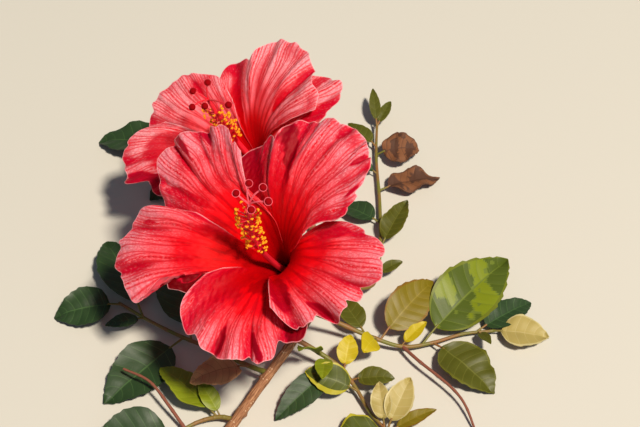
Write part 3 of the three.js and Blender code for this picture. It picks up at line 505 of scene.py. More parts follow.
# Across runs from -1 at a petal's clockwise edge to 1, along from 0 at the claw to 1. A fold is (across,
# half width, height in mm, along where it starts), a notch (across, half width, depth in mm), a hook
# (across, half width, turn in degrees) of the margin, an edge wave (side, along, half length, turn) and a
# patch of painted shade in deep crimson (across, along, half width, half length, strength, over 1 for the
# darkest red, a blackish painted shadow, and how much it leans across as it runs along).
# A petal's shift of tone is painted light: it paints the whole petal paler or deeper for how it faces the
# light.
PETALS = {
    "front": {
        "rim": 47, "swing": 6, "flare": 12, "grid": (84, 150),
        "petals": {
            "upper_left": {
                "claw": 120, "spread": (91, 165), "skirt": 26, "painted_light_shift": 0.07,
                "reach": [42, 55, 60.5, 64, 67.5, 69.5, 65.5, 57.5, 52, 47, 40],
                "folds": [(-0.03, 0.035, -2.6, 0.25), (-0.36, 0.04, -1.6, 0.45), (-0.18, 0.08, 1.6, 0.3),
                          (-0.47, 0.06, -3.0, 0.74), (0.14, 0.12, 1.2, 0.4), (-0.92, 0.12, 1.8, 0.3),
                          (0.66, 0.16, -1.8, 0.2), (0.32, 0.05, -1.4, 0.5), (-0.62, 0.05, 1.0, 0.5)],
                "notches": [(-0.47, 0.05, 1.5), (-0.63, 0.05, 2.0), (-0.87, 0.03, 4.0), (0.24, 0.05, -1.0)],
                "painted_shades": [(-0.47, 0.95, 0.06, 0.1, 1.3), (0.5, 0.75, 0.16, 0.3, 0.7),
                           (-0.02, 0.7, 0.03, 0.3, 0.7), (-0.15, 0.92, 0.04, 0.16, 1.3),
                           (0.3, 0.68, 0.09, 0.28, 1.0, 0.42)],
            },
            "upper_right": {
                "claw": 48, "spread": (8, 102), "painted_light_shift": 0.06,
                "reach": [46.5, 58, 65, 68.5, 68, 65, 60.5, 54, 48, 47, 42],
                "edge_waves": [(-1, 0.36, 0.14, -13), (-1, 0.9, 0.12, -3)],
                "folds": [(0.37, 0.06, 3.0, 0.2), (0.17, 0.07, -3.4, 0.3), (0.76, 0.26, -5.0, 0.25),
                          (-0.49, 0.04, 2.2, 0.8), (-0.56, 0.03, -3.0, 0.85), (-1.0, 0.1, -2.0, 0.3),
                          (-0.03, 0.06, 1.2, 0.3), (0.06, 0.03, -1.4, 0.5), (-0.25, 0.04, -1.8, 0.45),
                          (-0.75, 0.05, 1.4, 0.6), (-0.66, 0.04, -1.4, 0.6)],
                "notches": [(-0.56, 0.025, 1.5), (0.05, 0.04, 1.0), (-0.83, 0.025, 3.0), (-0.93, 0.02, 1.5),
                            (0.41, 0.035, 4.5), (0.52, 0.04, -2.0)],
                "painted_shades": [(0.95, 0.64, 0.44, 0.55, 1.6), (0.31, 0.66, 0.07, 0.2, 0.6),
                           (0.2, 0.77, 0.1, 0.3, 1.7, 0.58), (0.38, 0.7, 0.14, 0.25, 0.9, 0.2),
                           (0.22, 0.45, 0.24, 0.18, 0.6), (-0.24, 0.95, 0.07, 0.07, 1.0),
                           (-0.55, 0.93, 0.03, 0.07, 1.3), (-0.8, 0.93, 0.03, 0.06, 1.2)],
            },
            "lower_right": {
                "claw": -24, "spread": (-75, 15), "painted_light_shift": -0.03,
                "reach": [35, 46, 49.5, 56.5, 58.5, 60, 65, 63, 55.5, 44.5, 32],
                "edge_waves": [(-1, 0.36, 0.08, -9), (-1, 0.85, 0.25, 2)],
                "folds": [(-1.0, 0.12, 4.0, 0.12), (-0.78, 0.1, -2.8, 0.3), (-0.58, 0.08, 1.8, 0.5),
                          (-0.4, 0.055, -4.4, 0.62), (-0.24, 0.07, 2.4, 0.55), (0.04, 0.05, -2.0, 0.45),
                          (0.3, 0.09, 1.6, 0.5), (0.62, 0.05, -1.5, 0.4), (0.92, 0.12, -2.4, 0.3)],
                "notches": [(-0.46, 0.06, 6.0), (-0.14, 0.03, 4.0), (0.04, 0.025, 3.0),
                            (0.34, 0.025, 1.5), (-0.72, 0.03, 1.5), (0.61, 0.03, 2.5)],
                "painted_shades": [(0.74, 0.75, 0.16, 0.18, 1.1), (-0.82, 0.6, 0.28, 0.3, 1.4, -0.4),
                           (-0.4, 0.87, 0.08, 0.12, 1.5), (0.05, 0.95, 0.05, 0.06, 0.6),
                           (-0.12, 0.4, 0.4, 0.1, 0.4)],
            },
            "bottom": {
                "claw": -96, "spread": (-155, -53), "painted_light_shift": -0.06,
                "reach": [27, 40.5, 48, 49, 52.3, 53.8, 53.2, 54.5, 50, 48, 40],
                "folds": [(-1.0, 0.26, 2.6, 0.3), (-0.17, 0.06, -3.4, 0.6), (0.2, 0.05, -3.6, 0.55),
                          (0.04, 0.08, 1.8, 0.5), (0.36, 0.07, 2.2, 0.5), (-0.36, 0.08, 1.4, 0.4),
                          (-0.62, 0.12, -2.2, 0.35), (0.78, 0.2, -3.2, 0.35)],
                "notches": [(-0.33, 0.05, 1.5), (-0.48, 0.05, -1.0), (0.2, 0.025, 2.6), (0.52, 0.06, 6.5),
                            (0.31, 0.05, -1.5), (0.12, 0.05, 0.8)],
                "painted_shades": [(-0.95, 0.45, 0.85, 0.32, 1.3), (-1.0, 0.78, 0.35, 0.2, 1.1),
                           (-0.14, 0.88, 0.06, 0.17, 1.6), (0.29, 0.88, 0.05, 0.15, 1.5, 0.45),
                           (0.78, 0.9, 0.2, 0.35, 1.8), (0.1, 0.25, 0.5, 0.17, 1.4),
                           (-0.55, 0.72, 0.3, 0.22, 0.45)],
            },
            "left": {
                "claw": -168, "spread": (-213, -147),
                "reach": [33, 50.5, 59.5, 63.5, 67.5, 70.3, 66.5, 60.5, 43.5, 38, 33],
                "folds": [(-0.75, 0.16, 2.6, 0.35), (-1.0, 0.1, -3.0, 0.4), (0.85, 0.3, -3.6, 0.25),
                          (0.1, 0.05, -2.2, 0.4), (-0.25, 0.07, 1.2, 0.4), (0.3, 0.08, 1.6, 0.5),
                          (-0.45, 0.04, -1.4, 0.5), (0.46, 0.05, -2.0, 0.6)],
                "notches": [(0.5, 0.055, 6.5), (0.4, 0.05, -1.0), (-0.22, 0.04, 1.2), (0.1, 0.04, 1.0)],
                "hooks": [(0.4, 0.08, 5.0), (0.5, 0.035, -5.0)],
                "painted_shades": [(-0.85, 0.42, 0.3, 0.22, 0.9), (0.8, 0.8, 0.42, 0.4, 2.0),
                           (0.5, 0.76, 0.12, 0.13, 1.9), (-0.55, 0.87, 0.05, 0.06, 1.0),
                           (0.0, 0.95, 0.05, 0.06, 0.9), (0.1, 0.2, 0.8, 0.14, 0.5)],
            },
        },
    },
    "back": {
        "rim": 44, "swing": 5, "flare": 11.5, "grid": (66, 120),
        "petals": {
            "upper_left": {
                "claw": 130, "spread": (92, 172), "reach": [24, 35, 40, 45, 48, 50, 51.5, 52, 51, 47, 40],
                "folds": [(-0.3, 0.07, -1.8, 0.4), (0.2, 0.1, 1.6, 0.4), (0.6, 0.08, -1.6, 0.4)],
                "notches": [(-0.3, 0.05, 1.5), (0.45, 0.05, 1.5)],
                "painted_shades": [(0.1, 0.98, 0.1, 0.06, 0.4)],
            },
            "upper_right": {
                "claw": 58, "spread": (2, 104),
                "reach": [46, 48.5, 49.5, 53, 56, 56, 55.5, 46.5, 44.5, 43, 36],
                "folds": [(0.72, 0.14, -3.0, 0.25), (0.1, 0.05, 1.6, 0.4), (-0.44, 0.06, -3.4, 0.25),
                          (-0.3, 0.05, 2.0, 0.3), (0.36, 0.07, 2.8, 0.3), (-0.7, 0.08, 1.6, 0.5)],
                "notches": [(0.45, 0.06, 2.5), (-0.55, 0.05, 1.0), (0.7, 0.06, -1.0)],
                "painted_shades": [(0.72, 0.5, 0.12, 0.3, 1.2), (-0.45, 0.58, 0.1, 0.14, 1.0),
                           (-0.95, 0.6, 0.1, 0.3, 0.6)],
            },
            "lower_right": {
                "claw": -14, "spread": (-66, 32), "reach": [30, 36, 40, 41, 42, 42, 44, 51, 60, 57, 50],
                "folds": [(-0.4, 0.08, -2.0, 0.4), (0.0, 0.1, 1.8, 0.4), (0.45, 0.07, -2.4, 0.4),
                          (0.7, 0.07, 2.4, 0.4)],
                "notches": [(0.42, 0.05, 2.5), (-0.4, 0.05, 2.0), (0.75, 0.04, 2.0)],
                "painted_shades": [(0.86, 0.85, 0.08, 0.2, 0.9), (0.42, 0.85, 0.14, 0.2, 1.0)],
            },
            "bottom": {
                "claw": -86, "spread": (-140, -50), "reach": [32, 38, 42, 44, 46, 46, 46, 44, 42, 38, 32],
                "folds": [(-0.4, 0.08, -2.0, 0.4), (0.1, 0.1, 1.8, 0.4), (0.5, 0.08, -1.8, 0.4)],
                "notches": [(-0.4, 0.05, 2.0), (0.5, 0.05, 1.5)],
            },
            "left": {
                "claw": -158, "spread": (-202, -142), "reach": [38, 46, 54, 59, 60, 59, 59, 49, 48, 46, 40],
                "folds": [(-0.2, 0.08, -2.2, 0.4), (0.25, 0.1, 2.2, 0.4), (0.65, 0.09, -2.4, 0.4),
                          (-0.7, 0.1, 1.8, 0.4)],
                "notches": [(0.35, 0.05, 2.5), (-0.45, 0.05, 1.5)],
                "painted_shades": [(0.3, 0.92, 0.3, 0.16, 1.3), (-0.3, 0.6, 0.6, 0.25, 0.9),
                           (0.8, 0.7, 0.3, 0.3, 1.0)],
            },
        },
    },
}


def along_list(values, t):
    """A smooth value from an evenly spaced list, t running from -1 to 1."""
    values = np.asarray(values, float)
    last = len(values) - 1
    place = (t + 1) / 2 * last
    i = np.clip(np.floor(place).astype(int), 0, last - 1)
    f = place - i
    a, b, c, d = (values[np.clip(i + k, 0, last)] for k in (-1, 0, 1, 2))
    return 0.5 * (2 * b + (c - a) * f + (2 * a - 5 * b + 4 * c - d) * f**2 + (3 * b - a - 3 * c + d) * f**3)


def funnel(bloom, radius, heading):
    """The height of the petals' surface over the flower's foot."""
    lean = np.cos(np.radians(heading - SWING_HEADING)) * smooth(*SWING_FROM, radius)
    out = np.maximum(radius - CLAW_RADIUS, 0) / bloom["flare"]
    rise = 1 - np.exp(-(out**FUNNEL_POWER))
    return (bloom["rim"] + bloom["swing"] * lean) * rise - RIM_DROOP * (radius / RIM_RADIUS) ** 4


def petal_mesh(bloom, petal, seed):
    """A petal's points, faces and the values its material reads: (points, faces, values)."""
    rows, columns = bloom["grid"]
    s = np.linspace(0, 1, rows + 1)[:, None]
    t = np.linspace(-1, 1, columns + 1)[None, :]
    low, high = petal["spread"]
    middle, half = (low + high) / 2, (high - low) / 2
    reach = along_list(petal["reach"], t)
    arc = t * np.radians(half) * reach
    for place, wide, depth in petal["notches"]:
        reach = reach - depth * np.exp(-(((t - place) / wide) ** 2))
    reach = reach + SCALLOP[0] * swell(np.stack([arc, 0 * arc], -1), SCALLOP[1], seed) * (1 - t**8)
    radius = CLAW_RADIUS + (reach - CLAW_RADIUS) * s**PETAL_QUICKENS
    opened = smooth(0, PETAL_OPENED, s)
    spread = CLAW_SPREAD + (half - CLAW_SPREAD) * opened
    heading = (petal["claw"] + CLAW_SPREAD * t) * (1 - opened) + (middle + half * t) * opened
    swell_in, swell_full, swell_out, swell_end = SKIRT_PLACE
    skirt = smooth(swell_in, swell_full, s) * (1 - smooth(swell_out, swell_end, s))
    heading = heading - petal.get("skirt", 0) * skirt * np.maximum(0, -t) ** 2
    for side, place, wide, turn in petal.get("edge_waves", ()):
        heading = heading + turn * np.exp(-(((s - place) / wide) ** 2)) * np.maximum(0, side * t) ** 3
    for place, wide, turn in petal.get("hooks", ()):
        heading = heading + turn * np.exp(-(((t - place) / wide) ** 2)) * smooth(0.7, 1, s)
    height = funnel(bloom, radius, heading)
    slope = funnel(bloom, radius + 0.5, heading) - funnel(bloom, radius - 0.5, heading)
    inward = -PETAL_LAP * t * smooth(*LAP_RISE, s) / np.hypot(1, slope)
    out = radius - slope * inward
    angle = np.radians(heading)
    grid = np.stack([out * np.cos(angle), out * np.sin(angle), height + inward], -1)

    flat = np.stack([radius + 0 * t, radius * np.radians(spread) * t], -1)
    lanes = round(2 * half / LANE_DEGREES)
    stray = LANE_WANDER[0] * swell(flat, LANE_WANDER[1], seed + 1)
    lane = (t + 1) / 2 * lanes + stray * smooth(0.1, 0.6, s)
    lane_width = radius * np.radians(2 * spread) / lanes + 0 * t
    off = np.abs(lane % 1 - 0.5)
    away = off * lane_width
    for start, end, gap in FORKS:
        off = np.abs(off - gap * smooth(start, end, s))
    away = np.minimum(away, off * lane_width)
    grown = smooth(0.2, 0.75, s)
    lift = PLEAT[0] * grown * (1 - np.exp(-((away / PLEAT[1]) ** 2)))
    lift = lift - GROOVE[0] * grown * np.exp(-((away / GROOVE[1]) ** 2))
    folded = 0 * lift
    for place, wide, tall, start in petal["folds"]:
        wander = place + FOLD_WANDER * np.sin(5 * s + place * 9)
        folded = folded + tall * np.exp(-(((t - wander) / wide) ** 2)) * smooth(start, 1.0, s)
    lift = lift + folded
    margin = np.stack([arc + 0 * s, RUFFLE_DEPTH * s + 0 * t], -1)
    lift = lift + RUFFLE[0] * swell(margin, RUFFLE[1], seed + 2) * smooth(RUFFLE[2], 1.0, s) ** 1.5
    lift = lift + FRILL[0] * swell(margin, FRILL[1], seed + 3) * smooth(FRILL[2], 1.0, s)
    crinkle = CRINKLE[0] * swell(flat * [0.7, 1], CRINKLE[1], seed + 4, waves=14)
    lift = lift + crinkle * smooth(0.2, 0.6, s)
    normal = unit(np.cross(np.gradient(grid, axis=0), np.gradient(grid, axis=1)))
    grid = grid + normal * lift[..., None]

    # Painted light and shade: the tissue is painted pale on the crests and crimson in the folds, set by the
    # fold heights and by random clouds.
    crest = smooth(*PAINTED_LIGHT_LIFT, folded + PAINTED_LIGHT_CLOUDS[0] * swell(flat, PAINTED_LIGHT_CLOUDS[1], seed + 5))
    ragged = 1 + PAINTED_SHADE_RAGGED[0] * swell(flat * [0.4, 1], PAINTED_SHADE_RAGGED[1], seed + 6)
    # Patches of painted shade deepen the colour, and where stronger than 1 they paint a blackish red shadow.
    for across, along, wide, long, strength, *lean in petal.get("painted_shades", ()):
        off_axis = t - across - (lean[0] if lean else 0) * (s - along)
        painted_shade = np.exp(-((off_axis / wide) ** 2) - ((s - along) / long) ** 2)
        painted_shade = strength * smooth(*PAINTED_SHADE_EDGE, painted_shade * ragged)
        crest = crest * np.maximum(1 - painted_shade, 0) - np.maximum(painted_shade - 1, 0)

    to_margin = np.minimum((1 - s) * reach, (1 - np.abs(t)) * radius * np.radians(spread))
    thin, deep = MARGIN_THIN
    points, faces = sheet(grid, PETAL_THICK * (thin + (1 - thin) * smooth(0, deep, to_margin)))
    read = {
        "along": s + 0 * t, "tone": s + petal.get("painted_light_shift", 0) + 0 * t, "out": radius + 0 * t,
        "lane": lane, "lane_width": lane_width, "to_margin": to_margin, "crest": crest,
    }
    values = {label: np.tile(value.ravel(), 2) for label, value in read.items()}
    values["reverse"] = np.repeat([0.0, 1.0], (rows + 1) * (columns + 1))
    return points, faces, values


# Petal tissue: thin and moist, its skin cells domed, so that it is satin. Light and shade are painted into
# its colour: pale painted light on the crests, crimson painted shade in the folds, and pale flecks as
# painted glints. Crimson in the throat, scarlet, then coral, with veins that run from dark red inside to
# bright crimson towards the margin.
PETAL_SHADES = {
    "front": ((0.0, "#8c0004"), (0.14, "#bc0004"), (0.34, "#ec0008"), (0.54, "#f2121e"), (0.7, "#f25662"),
              (0.98, "#e28492")),
    "back": ((0.0, "#700006"), (0.14, "#bc0008"), (0.3, "#f00c18"), (0.46, "#f65c68"), (0.8, "#ee98a2")),
}
LANE_AT_MARGIN = 9  # how wide a lane stands at the margin
PETAL_LOOKS = {}
for name, shades in PETAL_SHADES.items():
    PETAL_LOOKS[name], tree = new_material(
        name + "_petal_tissue", Roughness=0.6, Specular_IOR_Level=0.18, Specular_Tint=colour("#ff9c9c"),
        Subsurface_Weight=0.25, Subsurface_Scale=1.5 * MM, Subsurface_Radius=(1.0, 0.15, 0.12),
    )
    read = {
        label: add(tree, "Attribute", output="Fac", attribute_name=label)
        for label in ("along", "tone", "lane", "lane_width", "to_margin", "out", "reverse", "crest")
    }
    # Patterns lie by the veins, across in mm as they stand at the margin. Paler and deeper patches are
    # some 9 mm across, and the veins break up every 3 mm.
    across = add(tree, "Math", [read["lane"], LANE_AT_MARGIN], operation="MULTIPLY")
    flat_place = add(tree, "CombineXYZ", [read["out"], across])
    patches = add(tree, "TexNoise", {"Vector": flat_place, "Scale": 0.11, "Detail": 3})
    patches = add(tree, "Math", [patches, 0.3, -0.15], operation="MULTIPLY_ADD")
    # The tone runs along the petal, shifted per petal as painted light, with random paler and deeper patches.
    tone = add(tree, "Math", [read["tone"], patches], operation="ADD")
    shaded = add(tree, "ValToRGB", [tone], stops=shades)
    # Painted shade: in the folds the tissue is painted a deep crimson that turns to purple towards the
    # margin, and a blackish red painted shadow in the darkest patches.
    deep = add(tree, "ValToRGB", [read["along"]], stops=((0, "#7c0004"), (0.35, "#c00005"), (1, "#b8062c")))
    painted_shadow = add(tree, "Math", [read["crest"], -1], operation="MULTIPLY")
    dark = add(tree, "Mix", [painted_shadow, deep, colour("#5e0006")], data_type="RGBA")

    # A main vein runs down the middle of each lane to the margin, 1.1 mm to either side at the claw and
    # 0.6 mm at the margin. Its forks are half as wide and a little fainter.
    off = add(tree, "Math", [read["lane"]], operation="FRACT")
    off = add(tree, "Math", [off, 0.5], operation="SUBTRACT")
    off = add(tree, "Math", [off], operation="ABSOLUTE")
    main = add(tree, "Math", [off, read["lane_width"]], operation="MULTIPLY")
    for start, end, gap in FORKS:
        opening = {"Value": read["along"], "From Min": start, "From Max": end, "To Max": gap}
        opening = add(tree, "MapRange", opening, interpolation_type="SMOOTHSTEP")
        off = add(tree, "Math", [off, opening], operation="SUBTRACT")
        off = add(tree, "Math", [off], operation="ABSOLUTE")
    away = add(tree, "Math", [off, read["lane_width"]], operation="MULTIPLY")
    half = add(tree, "MapRange", {"Value": read["along"], "To Min": 1.1, "To Max": 0.6})
    main = add(tree, "MapRange", {"Value": main, "From Min": half, "From Max": 0.2})
    half = add(tree, "Math", [half, 0.55], operation="MULTIPLY")
    fork = add(tree, "MapRange", {"Value": away, "From Min": half, "From Max": 0.05, "To Max": 0.8})
    vein = add(tree, "Math", [main, fork], operation="MAXIMUM")
    broken = add(tree, "TexNoise", {"Vector": flat_place, "Scale": 0.3, "Detail": 2})
    broken = add(tree, "MapRange", {"Value": broken, "From Min": 0.3, "From Max": 0.6, "To Min": 0.7})
    clear = add(tree, "MapRange", {"Value": read["along"], "From Min": 0.2, "From Max": 0.6, "To Min": 0.35})
    lit = add(tree, "MapRange", {"Value": read["crest"], "From Min": -0.2, "From Max": 0.5})
    for mask in (broken, clear, lit):
        vein = add(tree, "Math", [vein, mask], operation="MULTIPLY")
    outward = add(tree, "MapRange", {"Value": tone, "From Min": 0.4, "From Max": 0.8})
    vein_red = add(tree, "Mix", [outward, colour("#a60009"), colour("#d00a20")], data_type="RGBA")
    # Between the veins the tissue is a little paler.
    between = {"Value": away, "From Min": 0.1, "From Max": 0.7}
    between = add(tree, "MapRange", between, interpolation_type="SMOOTHSTEP")
    drained = add(tree, "Math", [between, 0.2, 0.8], operation="MULTIPLY_ADD")
    # The colour runs from the painted shade of the folds to the lit tissue by the painted light, a little
    # paler between the veins.
    pale = add(tree, "Math", [read["crest"], 0], operation="MAXIMUM")
    pale = add(tree, "Math", [drained, pale], operation="MULTIPLY")
    skin = add(tree, "Mix", [pale, dark, shaded], data_type="RGBA")
    skin = add(tree, "Mix", [vein, skin, vein_red], data_type="RGBA")
    # A net of finest veins, its meshes some 2 mm long and 1 mm wide.
    net = add(tree, "VectorMath", [flat_place, (0.5, 1, 1)], operation="MULTIPLY")
    net = add(tree, "TexVoronoi", {"Vector": net, "Scale": 1.0}, feature="DISTANCE_TO_EDGE")
    net = add(tree, "MapRange", {"Value": net, "From Min": 0.16, "From Max": 0.02, "To Max": 0.4})
    for mask in (clear, lit, outward):
        net = add(tree, "Math", [net, mask], operation="MULTIPLY")
    # Painted glints: the glitter of the domed cells, painted as pale flecks of 0.6 by 1.4 mm so that it
    # shows.
    flecks = add(tree, "VectorMath", [flat_place, (0.7, 1.6, 1)], operation="MULTIPLY")
    flecks = add(tree, "TexNoise", {"Vector": flecks, "Scale": 1.0, "Detail": 3})
    glitter = add(tree, "MapRange", {"Value": flecks, "From Min": 0.5, "From Max": 0.66})
    outer = add(tree, "MapRange", {"Value": tone, "From Min": 0.5, "From Max": 0.9, "To Max": 0.5})
    for mask in (outer, lit, between):
        glitter = add(tree, "Math", [glitter, mask], operation="MULTIPLY")
    # The last half millimetre of the margin is thin and pale, and the petal's back pinker than its face.
    rim = {"Value": read["to_margin"], "From Min": 0.5, "From Max": 0.15, "To Max": 0.45}
    rim = add(tree, "MapRange", rim)
    far = add(tree, "MapRange", {"Value": read["along"], "From Min": 0.5, "From Max": 0.75})
    rim = add(tree, "Math", [rim, far], operation="MULTIPLY")
    back = add(tree, "Math", [read["reverse"], 0.3], operation="MULTIPLY")
    # The fine net of veins, the painted glints, the pale margin and the pinker back are laid over the colour
    # in turn.
    for mask, code in ((net, "#d00418"), (glitter, "#f2a8b2"), (rim, "#ffb9c0"), (back, "#f0727c")):
        skin = add(tree, "Mix", [mask, skin, colour(code)], data_type="RGBA")
    tree.links.new(skin, tree.nodes["Principled BSDF"].inputs["Base Color"])
    add(tree, "MapRange", {"Value": flecks, "To Min": 0.62, "To Max": 0.34}, to="Roughness")
    relief = add(tree, "Bump", {"Height": flecks, "Strength": 0.5, "Distance": 0.25 * MM})
    cells = {"Height": grain(tree, 0.35, Detail=2), "Strength": 0.35, "Distance": 0.1 * MM, "Normal": relief}
    add(tree, "Bump", cells, to="Normal")

for name, bloom in PETALS.items():
    for number, (which, petal) in enumerate(bloom["petals"].items()):
        *shape, values = petal_mesh(bloom, petal, seed=100 + 10 * number + len(name))
        parts = [bloom_part(BLOOM_SEATS[name], shape)]
        made = mesh_piece(f"{name}_{which}_petal", parts, [PETAL_LOOKS[name]], values)
        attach(made, "root")
        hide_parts(f"{name}_petal_{which}")


# The columns: the stamens of a hibiscus are grown together in a tube that leans up out of the throat.
# Its upper half carries nearly a hundred threads, each with a kidney-shaped anther dusted with pollen, and
# at its end five style branches hold round velvet stigmas.
COLUMN_RADIUS = 1.6
COLUMN_TAPER = 0.45
COLUMN_RIBS = (0.05, 5)  # how high its ribs are, and how many
COLUMN_SWELLS = (0.04, 1.5)
STAMENS = 96
FIRST_STAMEN = 0.49  # along the column
STAMEN_STRETCH = 0.4
STAMEN_SHIFT = (0.1, 0.9)  # by chance, up the column and round it
STAMEN_TURN = (-0.3, 0.3)
SPIRAL_TURN = 2.39996
SIDE_BANDS = 0.95  # how far the threads crowd to the left and right of the column
LEFT_CROWD = 0.25  # and the left band over the right one
THREAD_TAPER = (0.2, 0.06)
THREAD_LENGTH = (4.2, 7.4)
THREAD_LEAN = (0.1, 0.7)  # how far up the column it leans
THREAD_RISE = 1.2  # how much higher its tip may stand
THREAD_SAG = -0.3
ANTHER_SIZE = (0.7, 0.9)
STYLE_TAPER = (0.48, 0.14)
STYLE_RISE = [0, 0, 1.6]  # how far a style arches over the straight way to its stigma
STIGMA_FACES = np.array([0.0, -0.62, 0.78])  # towards the world's front and up
COLLAR_SHAPE = [[1.7], [1.7], [0.4]]  # half its width, depth and height
DOME_SHAPE = [[1.42], [1.42], [0.9]]
DOME_LIFT = 0.3
HOOP = (1.72, 0.1, 0.14)  # radius of the pale ring, partly the collar's hairs and partly a painted halo of light, how high it lies, and how thick it is
COLUMNS = {
    "front": {
        "line": [[0, 0, 0], [-1.4, 0.2, 14], [0.9, -0.6, 33], [2.4, 1.2, 43], [4.7, 3.5, 52], [12, 5.8, 69]],
        "stigmas": [[16.2, 11.3, 78], [9.7, 8.3, 77], [21.5, 9.7, 75], [23.6, 3.2, 74], [17.1, -0.7, 77]],
    },
    "back": {
        "line": [[0, 0, 0], [-1, 1.8, 14], [-2.6, 4.5, 30], [-1.2, 4.1, 42], [0, 2.1, 56], [0.5, 3.3, 67]],
        "stigmas": [[4.3, 6.9, 76], [-4, 4.9, 75], [-3.9, -4.5, 75], [3.4, -6.6, 76], [14.4, -7, 73]],
    },
}


def taper(foot, loss):
    """The radius along a thread or stalk, foot at its root and less by loss at its tip."""
    return lambda u: foot - loss * u


def ball(centre, half_axes, sides, rings, bend=None):
    """A closed ball, (points, faces), with its half axes as rows. bend may reshape it first."""
    turn = np.arange(sides) * (math.tau / sides)
    climb = np.linspace(-1, 1, rings + 1)[1:-1] * (math.pi / 2)
    grid = np.stack([np.outer(np.cos(climb), np.cos(turn)), np.outer(np.cos(climb), np.sin(turn)),
                     np.outer(np.sin(climb), np.ones(sides))], -1).reshape(-1, 3)
    points = np.concatenate([grid, [[0, 0, -1.0], [0, 0, 1.0]]])
    if bend:
        points = bend(points)
    return points @ half_axes + centre, ring_faces(sides, rings - 1)


def kidney(points):
    """An anther's shape out of a ball: flattened, bent and pinched at its middle."""
    bent = points * [1.05, 0.72, 0.62]
    bent[:, 2] -= 0.55 * bent[:, 0] ** 2 - 0.25
    bent[:, 1] *= 1 - 0.25 * np.exp(-((bent[:, 0] / 0.3) ** 2))
    return bent


def column_radius(u):
    return COLUMN_RADIUS * (1 - COLUMN_TAPER * u)


def column_relief(u, angle):
    skin = np.stack([2 * np.cos(angle), 2 * np.sin(angle), 0 * angle + 8 * u], -1)
    ribs = COLUMN_RIBS[0] * np.sin(angle * COLUMN_RIBS[1])
    return ribs + COLUMN_SWELLS[0] * swell(skin, COLUMN_SWELLS[1], seed=8)


# Column tissue: smooth and moist, in two close reds that run into each other in fine streaks.
column_red, tree = new_material("stamen_column_red", Roughness=0.42, Subsurface_Weight=0.1,
                                Subsurface_Scale=1.0 * MM, Subsurface_Radius=(1.0, 0.2, 0.15))
fibres = grain(tree, 0.5, Detail=4)
add(tree, "Mix", [fibres, colour("#d80414"), colour("#f02c44")], to="Base Color", data_type="RGBA")
add(tree, "Bump", {"Height": fibres, "Strength": 0.3, "Distance": 0.1 * MM}, to="Normal")
# Pollen: dry grains, bright yellow to orange, fully matt. The grain is drawn at 0.25 mm so that it shows.
pollen, tree = new_material("anther_pollen", Roughness=0.85, Specular_IOR_Level=0.2,
                            Subsurface_Weight=0.3, Subsurface_Scale=1.0 * MM)
grains = grain(tree, 0.25, "TexVoronoi")
tints = grain(tree, 1.4, Detail=3)
add(tree, "Mix", [tints, colour("#ff7c04"), colour("#ffbc28")], to="Base Color", data_type="RGBA")
add(tree, "Bump", {"Height": grains, "Strength": 0.8, "Distance": 0.2 * MM}, to="Normal")
# Stigma velvet: dark red and deeply matt.
velvet, tree = new_material("stigma_velvet", Base_Color=colour("#8e0008"), Roughness=1.0,
                            Specular_IOR_Level=0.1)
pile = grain(tree, 0.2, Detail=3)
add(tree, "Bump", {"Height": pile, "Strength": 0.9, "Distance": 0.3 * MM}, to="Normal")
# Style tissue: pinkish red and moist, also the pale ring round each front stigma, its hairy collar partly
# drawn as a painted halo of light.
style_pink, tree = new_material("style_pink", Roughness=0.45, Subsurface_Weight=0.15,
                                Subsurface_Scale=1.0 * MM)
blush = grain(tree, 1)
add(tree, "Mix", [blush, colour("#e0344a"), colour("#f07484")], to="Base Color", data_type="RGBA")

